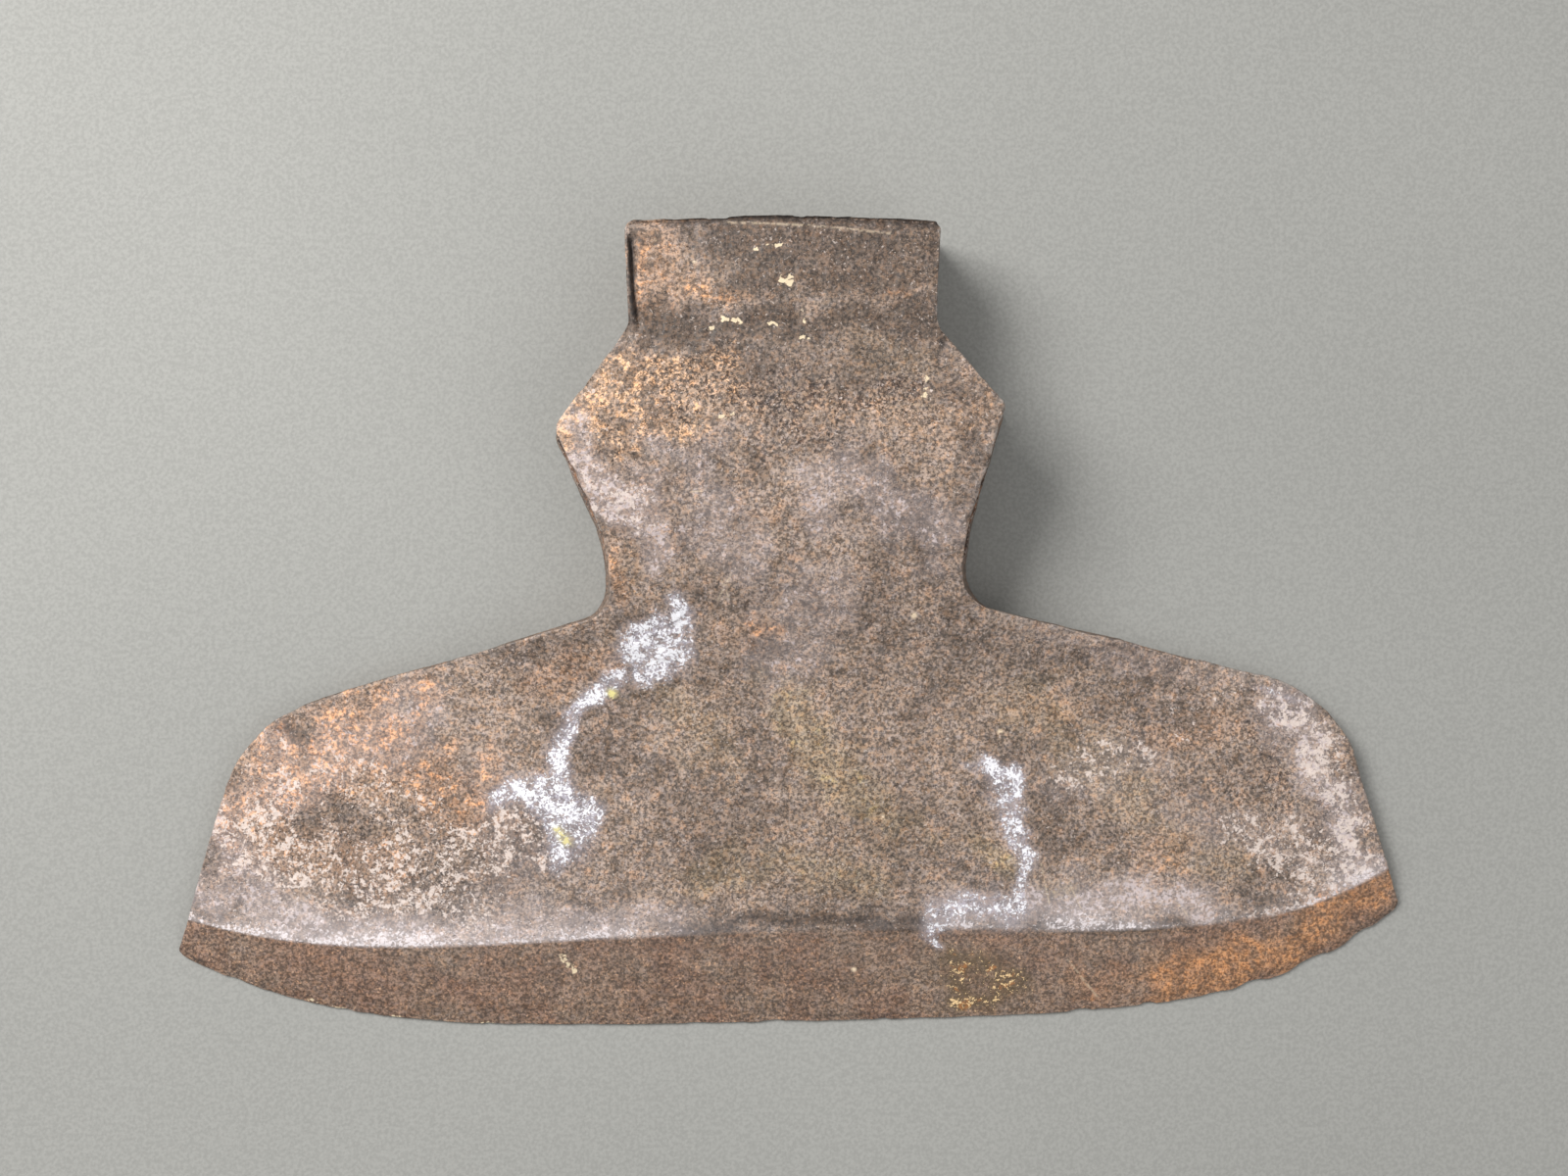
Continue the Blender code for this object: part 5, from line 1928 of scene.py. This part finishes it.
@dataclass(frozen=True)
class Studio:
    """A plain pale floor, soft light from the upper left, and the camera that looks straight down."""

    floor_size: float = 6.0
    floor_drop: float = 0.0002
    floor_colour: Colour = paint_colour(149, 150, 147)
    far_painted_light: Colour = paint_colour(226, 226, 222)
    floor_near: float = 0.35
    floor_far: float = 2.20
    floor_cloud: Cloud = Cloud(6.0, 1.0, 0.55, 0.0, 0.2, 0.8)
    floor_cloud_swing: float = 0.04
    floor_grain: Cloud = Cloud(1100.0, 1.0, 0.55, 0.0, 0.3, 0.7)
    floor_grain_swing: float = 0.07
    floor_roughness: float = 0.95
    thread_scale: float = 1400.0
    thread_bump: Bump = Bump(0.35, 0.0002)
    sky: Colour = (1.0, 0.99, 0.98, 1.0)
    sky_strength: float = 0.50
    key_place: Place = (-0.56, 0.46, 0.70)
    key_size: float = 0.50
    key_power: float = 12.5
    key_colour: tuple[float, float, float] = (1.0, 0.975, 0.95)
    fill_place: Place = (0.70, -0.30, 0.90)
    fill_size: float = 0.9
    fill_power: float = 2.5
    camera_height: float = 0.5
    sensor_width: float = 0.036
    view_half_width: float = 0.19753
    camera_offset: tuple[float, float] = (0.0, -0.0030)
    camera_clip: float = 0.01

    def make_floor(self) -> None:
        """A level sheet under the head, with a faint cloudy tone, a shade past the lowest point; painted
        light makes it paler further from the middle.
        """
        half = self.floor_size / 2
        corners = [(-half, -half), (half, -half), (half, half), (-half, half)]
        mesh = bpy.data.meshes.new("studio_floor")
        mesh.from_pydata([(x, y, CAD_BOX[0].z - self.floor_drop) for x, y in corners], [], [(0, 1, 2, 3)])
        floor = bpy.data.objects.new("studio_floor", mesh)
        bpy.context.scene.collection.objects.link(floor)
        material = bpy.data.materials.new("pale_floor")
        material.use_nodes = True
        w = Wiring(material.node_tree)
        place = w.node("ShaderNodeTexCoord").outputs["Object"]
        swing = self.floor_cloud_swing
        factor = w.cloud(place, self.floor_cloud, 1 - swing, 1 + swing)
        swing = self.floor_grain_swing
        factor = w.math("MULTIPLY", factor, w.cloud(place, self.floor_grain, 1 - swing, 1 + swing))
        grey = w.node("ShaderNodeCombineColor", {0: factor, 1: factor, 2: factor}).outputs[0]
        # painted light: the floor grows paler away from the middle, for light that the far floor lacks
        distance = w.vector("LENGTH", place, output="Value")
        away = w.ramp(distance, self.floor_near, self.floor_far)
        colour = w.blend(away, self.floor_colour, self.far_painted_light)
        colour = w.blend(1.0, colour, grey, "MULTIPLY")
        relief = {
            "Strength": self.thread_bump.strength,
            "Distance": self.thread_bump.depth,
            "Height": w.noise(place, self.thread_scale, 1.0),
        }
        normal = w.node("ShaderNodeBump", relief).outputs["Normal"]
        inputs = {"Base Color": colour, "Roughness": self.floor_roughness, "Normal": normal}
        shader = w.node("ShaderNodeBsdfPrincipled", inputs)
        w.node("ShaderNodeOutputMaterial", {"Surface": shader.outputs["BSDF"]})
        mesh.materials.append(material)

    def make_light(self, name: str, place: Place, size: float, power: float) -> None:
        """A square soft light that faces the origin."""
        light = bpy.data.lights.new(name, "AREA")
        light.size, light.energy, light.color = size, power, self.key_colour
        lamp = bpy.data.objects.new(name, light)
        lamp.location = place
        lamp.rotation_euler = (-lamp.location).to_track_quat("-Z", "Y").to_euler()
        bpy.context.scene.collection.objects.link(lamp)

    def make_sky(self) -> None:
        """Even light from all around."""
        world = bpy.data.worlds.new("studio")
        world.use_nodes = True
        background = world.node_tree.nodes["Background"]
        background.inputs["Color"].default_value = self.sky
        background.inputs["Strength"].default_value = self.sky_strength
        bpy.context.scene.world = world

    def make_camera(self, shift: np.ndarray) -> None:
        """The camera, straight above the place that the photograph's middle shows.

        Args:
            shift: how far the head was moved from its drawing frame.
        """
        camera = bpy.data.cameras.new("camera")
        camera.sensor_width = self.sensor_width / MM
        camera.lens = self.sensor_width / MM / 2 * self.camera_height / self.view_half_width
        camera.clip_start = self.camera_clip
        obj = bpy.data.objects.new("camera", camera)
        x, y = self.camera_offset[0] + shift[0], self.camera_offset[1] + shift[1]
        obj.location = (x, y, self.camera_height)
        bpy.context.scene.collection.objects.link(obj)
        bpy.context.scene.camera = obj

    def build(self, shift: np.ndarray) -> None:
        """Makes the whole studio."""
        self.make_floor()
        self.make_light("key_light", self.key_place, self.key_size, self.key_power)
        self.make_light("fill_light", self.fill_place, self.fill_size, self.fill_power)
        self.make_sky()
        self.make_camera(shift)
        bpy.context.scene.view_settings.view_transform = "Standard"


def report(piece: bpy.types.Object) -> None:
    """Logs a piece's name and its number of triangles."""
    piece.data.calc_loop_triangles()
    LOG.info("%s: %d triangles", piece.name, len(piece.data.loop_triangles))


def main() -> None:
    """Builds the studio and the dressed head, in order."""
    logging.basicConfig(level=logging.INFO, format="%(name)s: %(message)s")
    head = ForgedHead(HeadForm(), Forging())
    shift = head.shift(head.bare_surface())
    Studio().build(shift)
    groups = Groups(
        Speckle().make_group(), Mottle().make_group(), Relief().make_group(), make_scratch_group()
    )
    piece = head.build(ForgedIron().build(groups, shift), EyeWall().build(groups))
    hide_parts("axe_head")
    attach(piece, "root")
    report(piece)


if __name__ == "__main__":
    main()
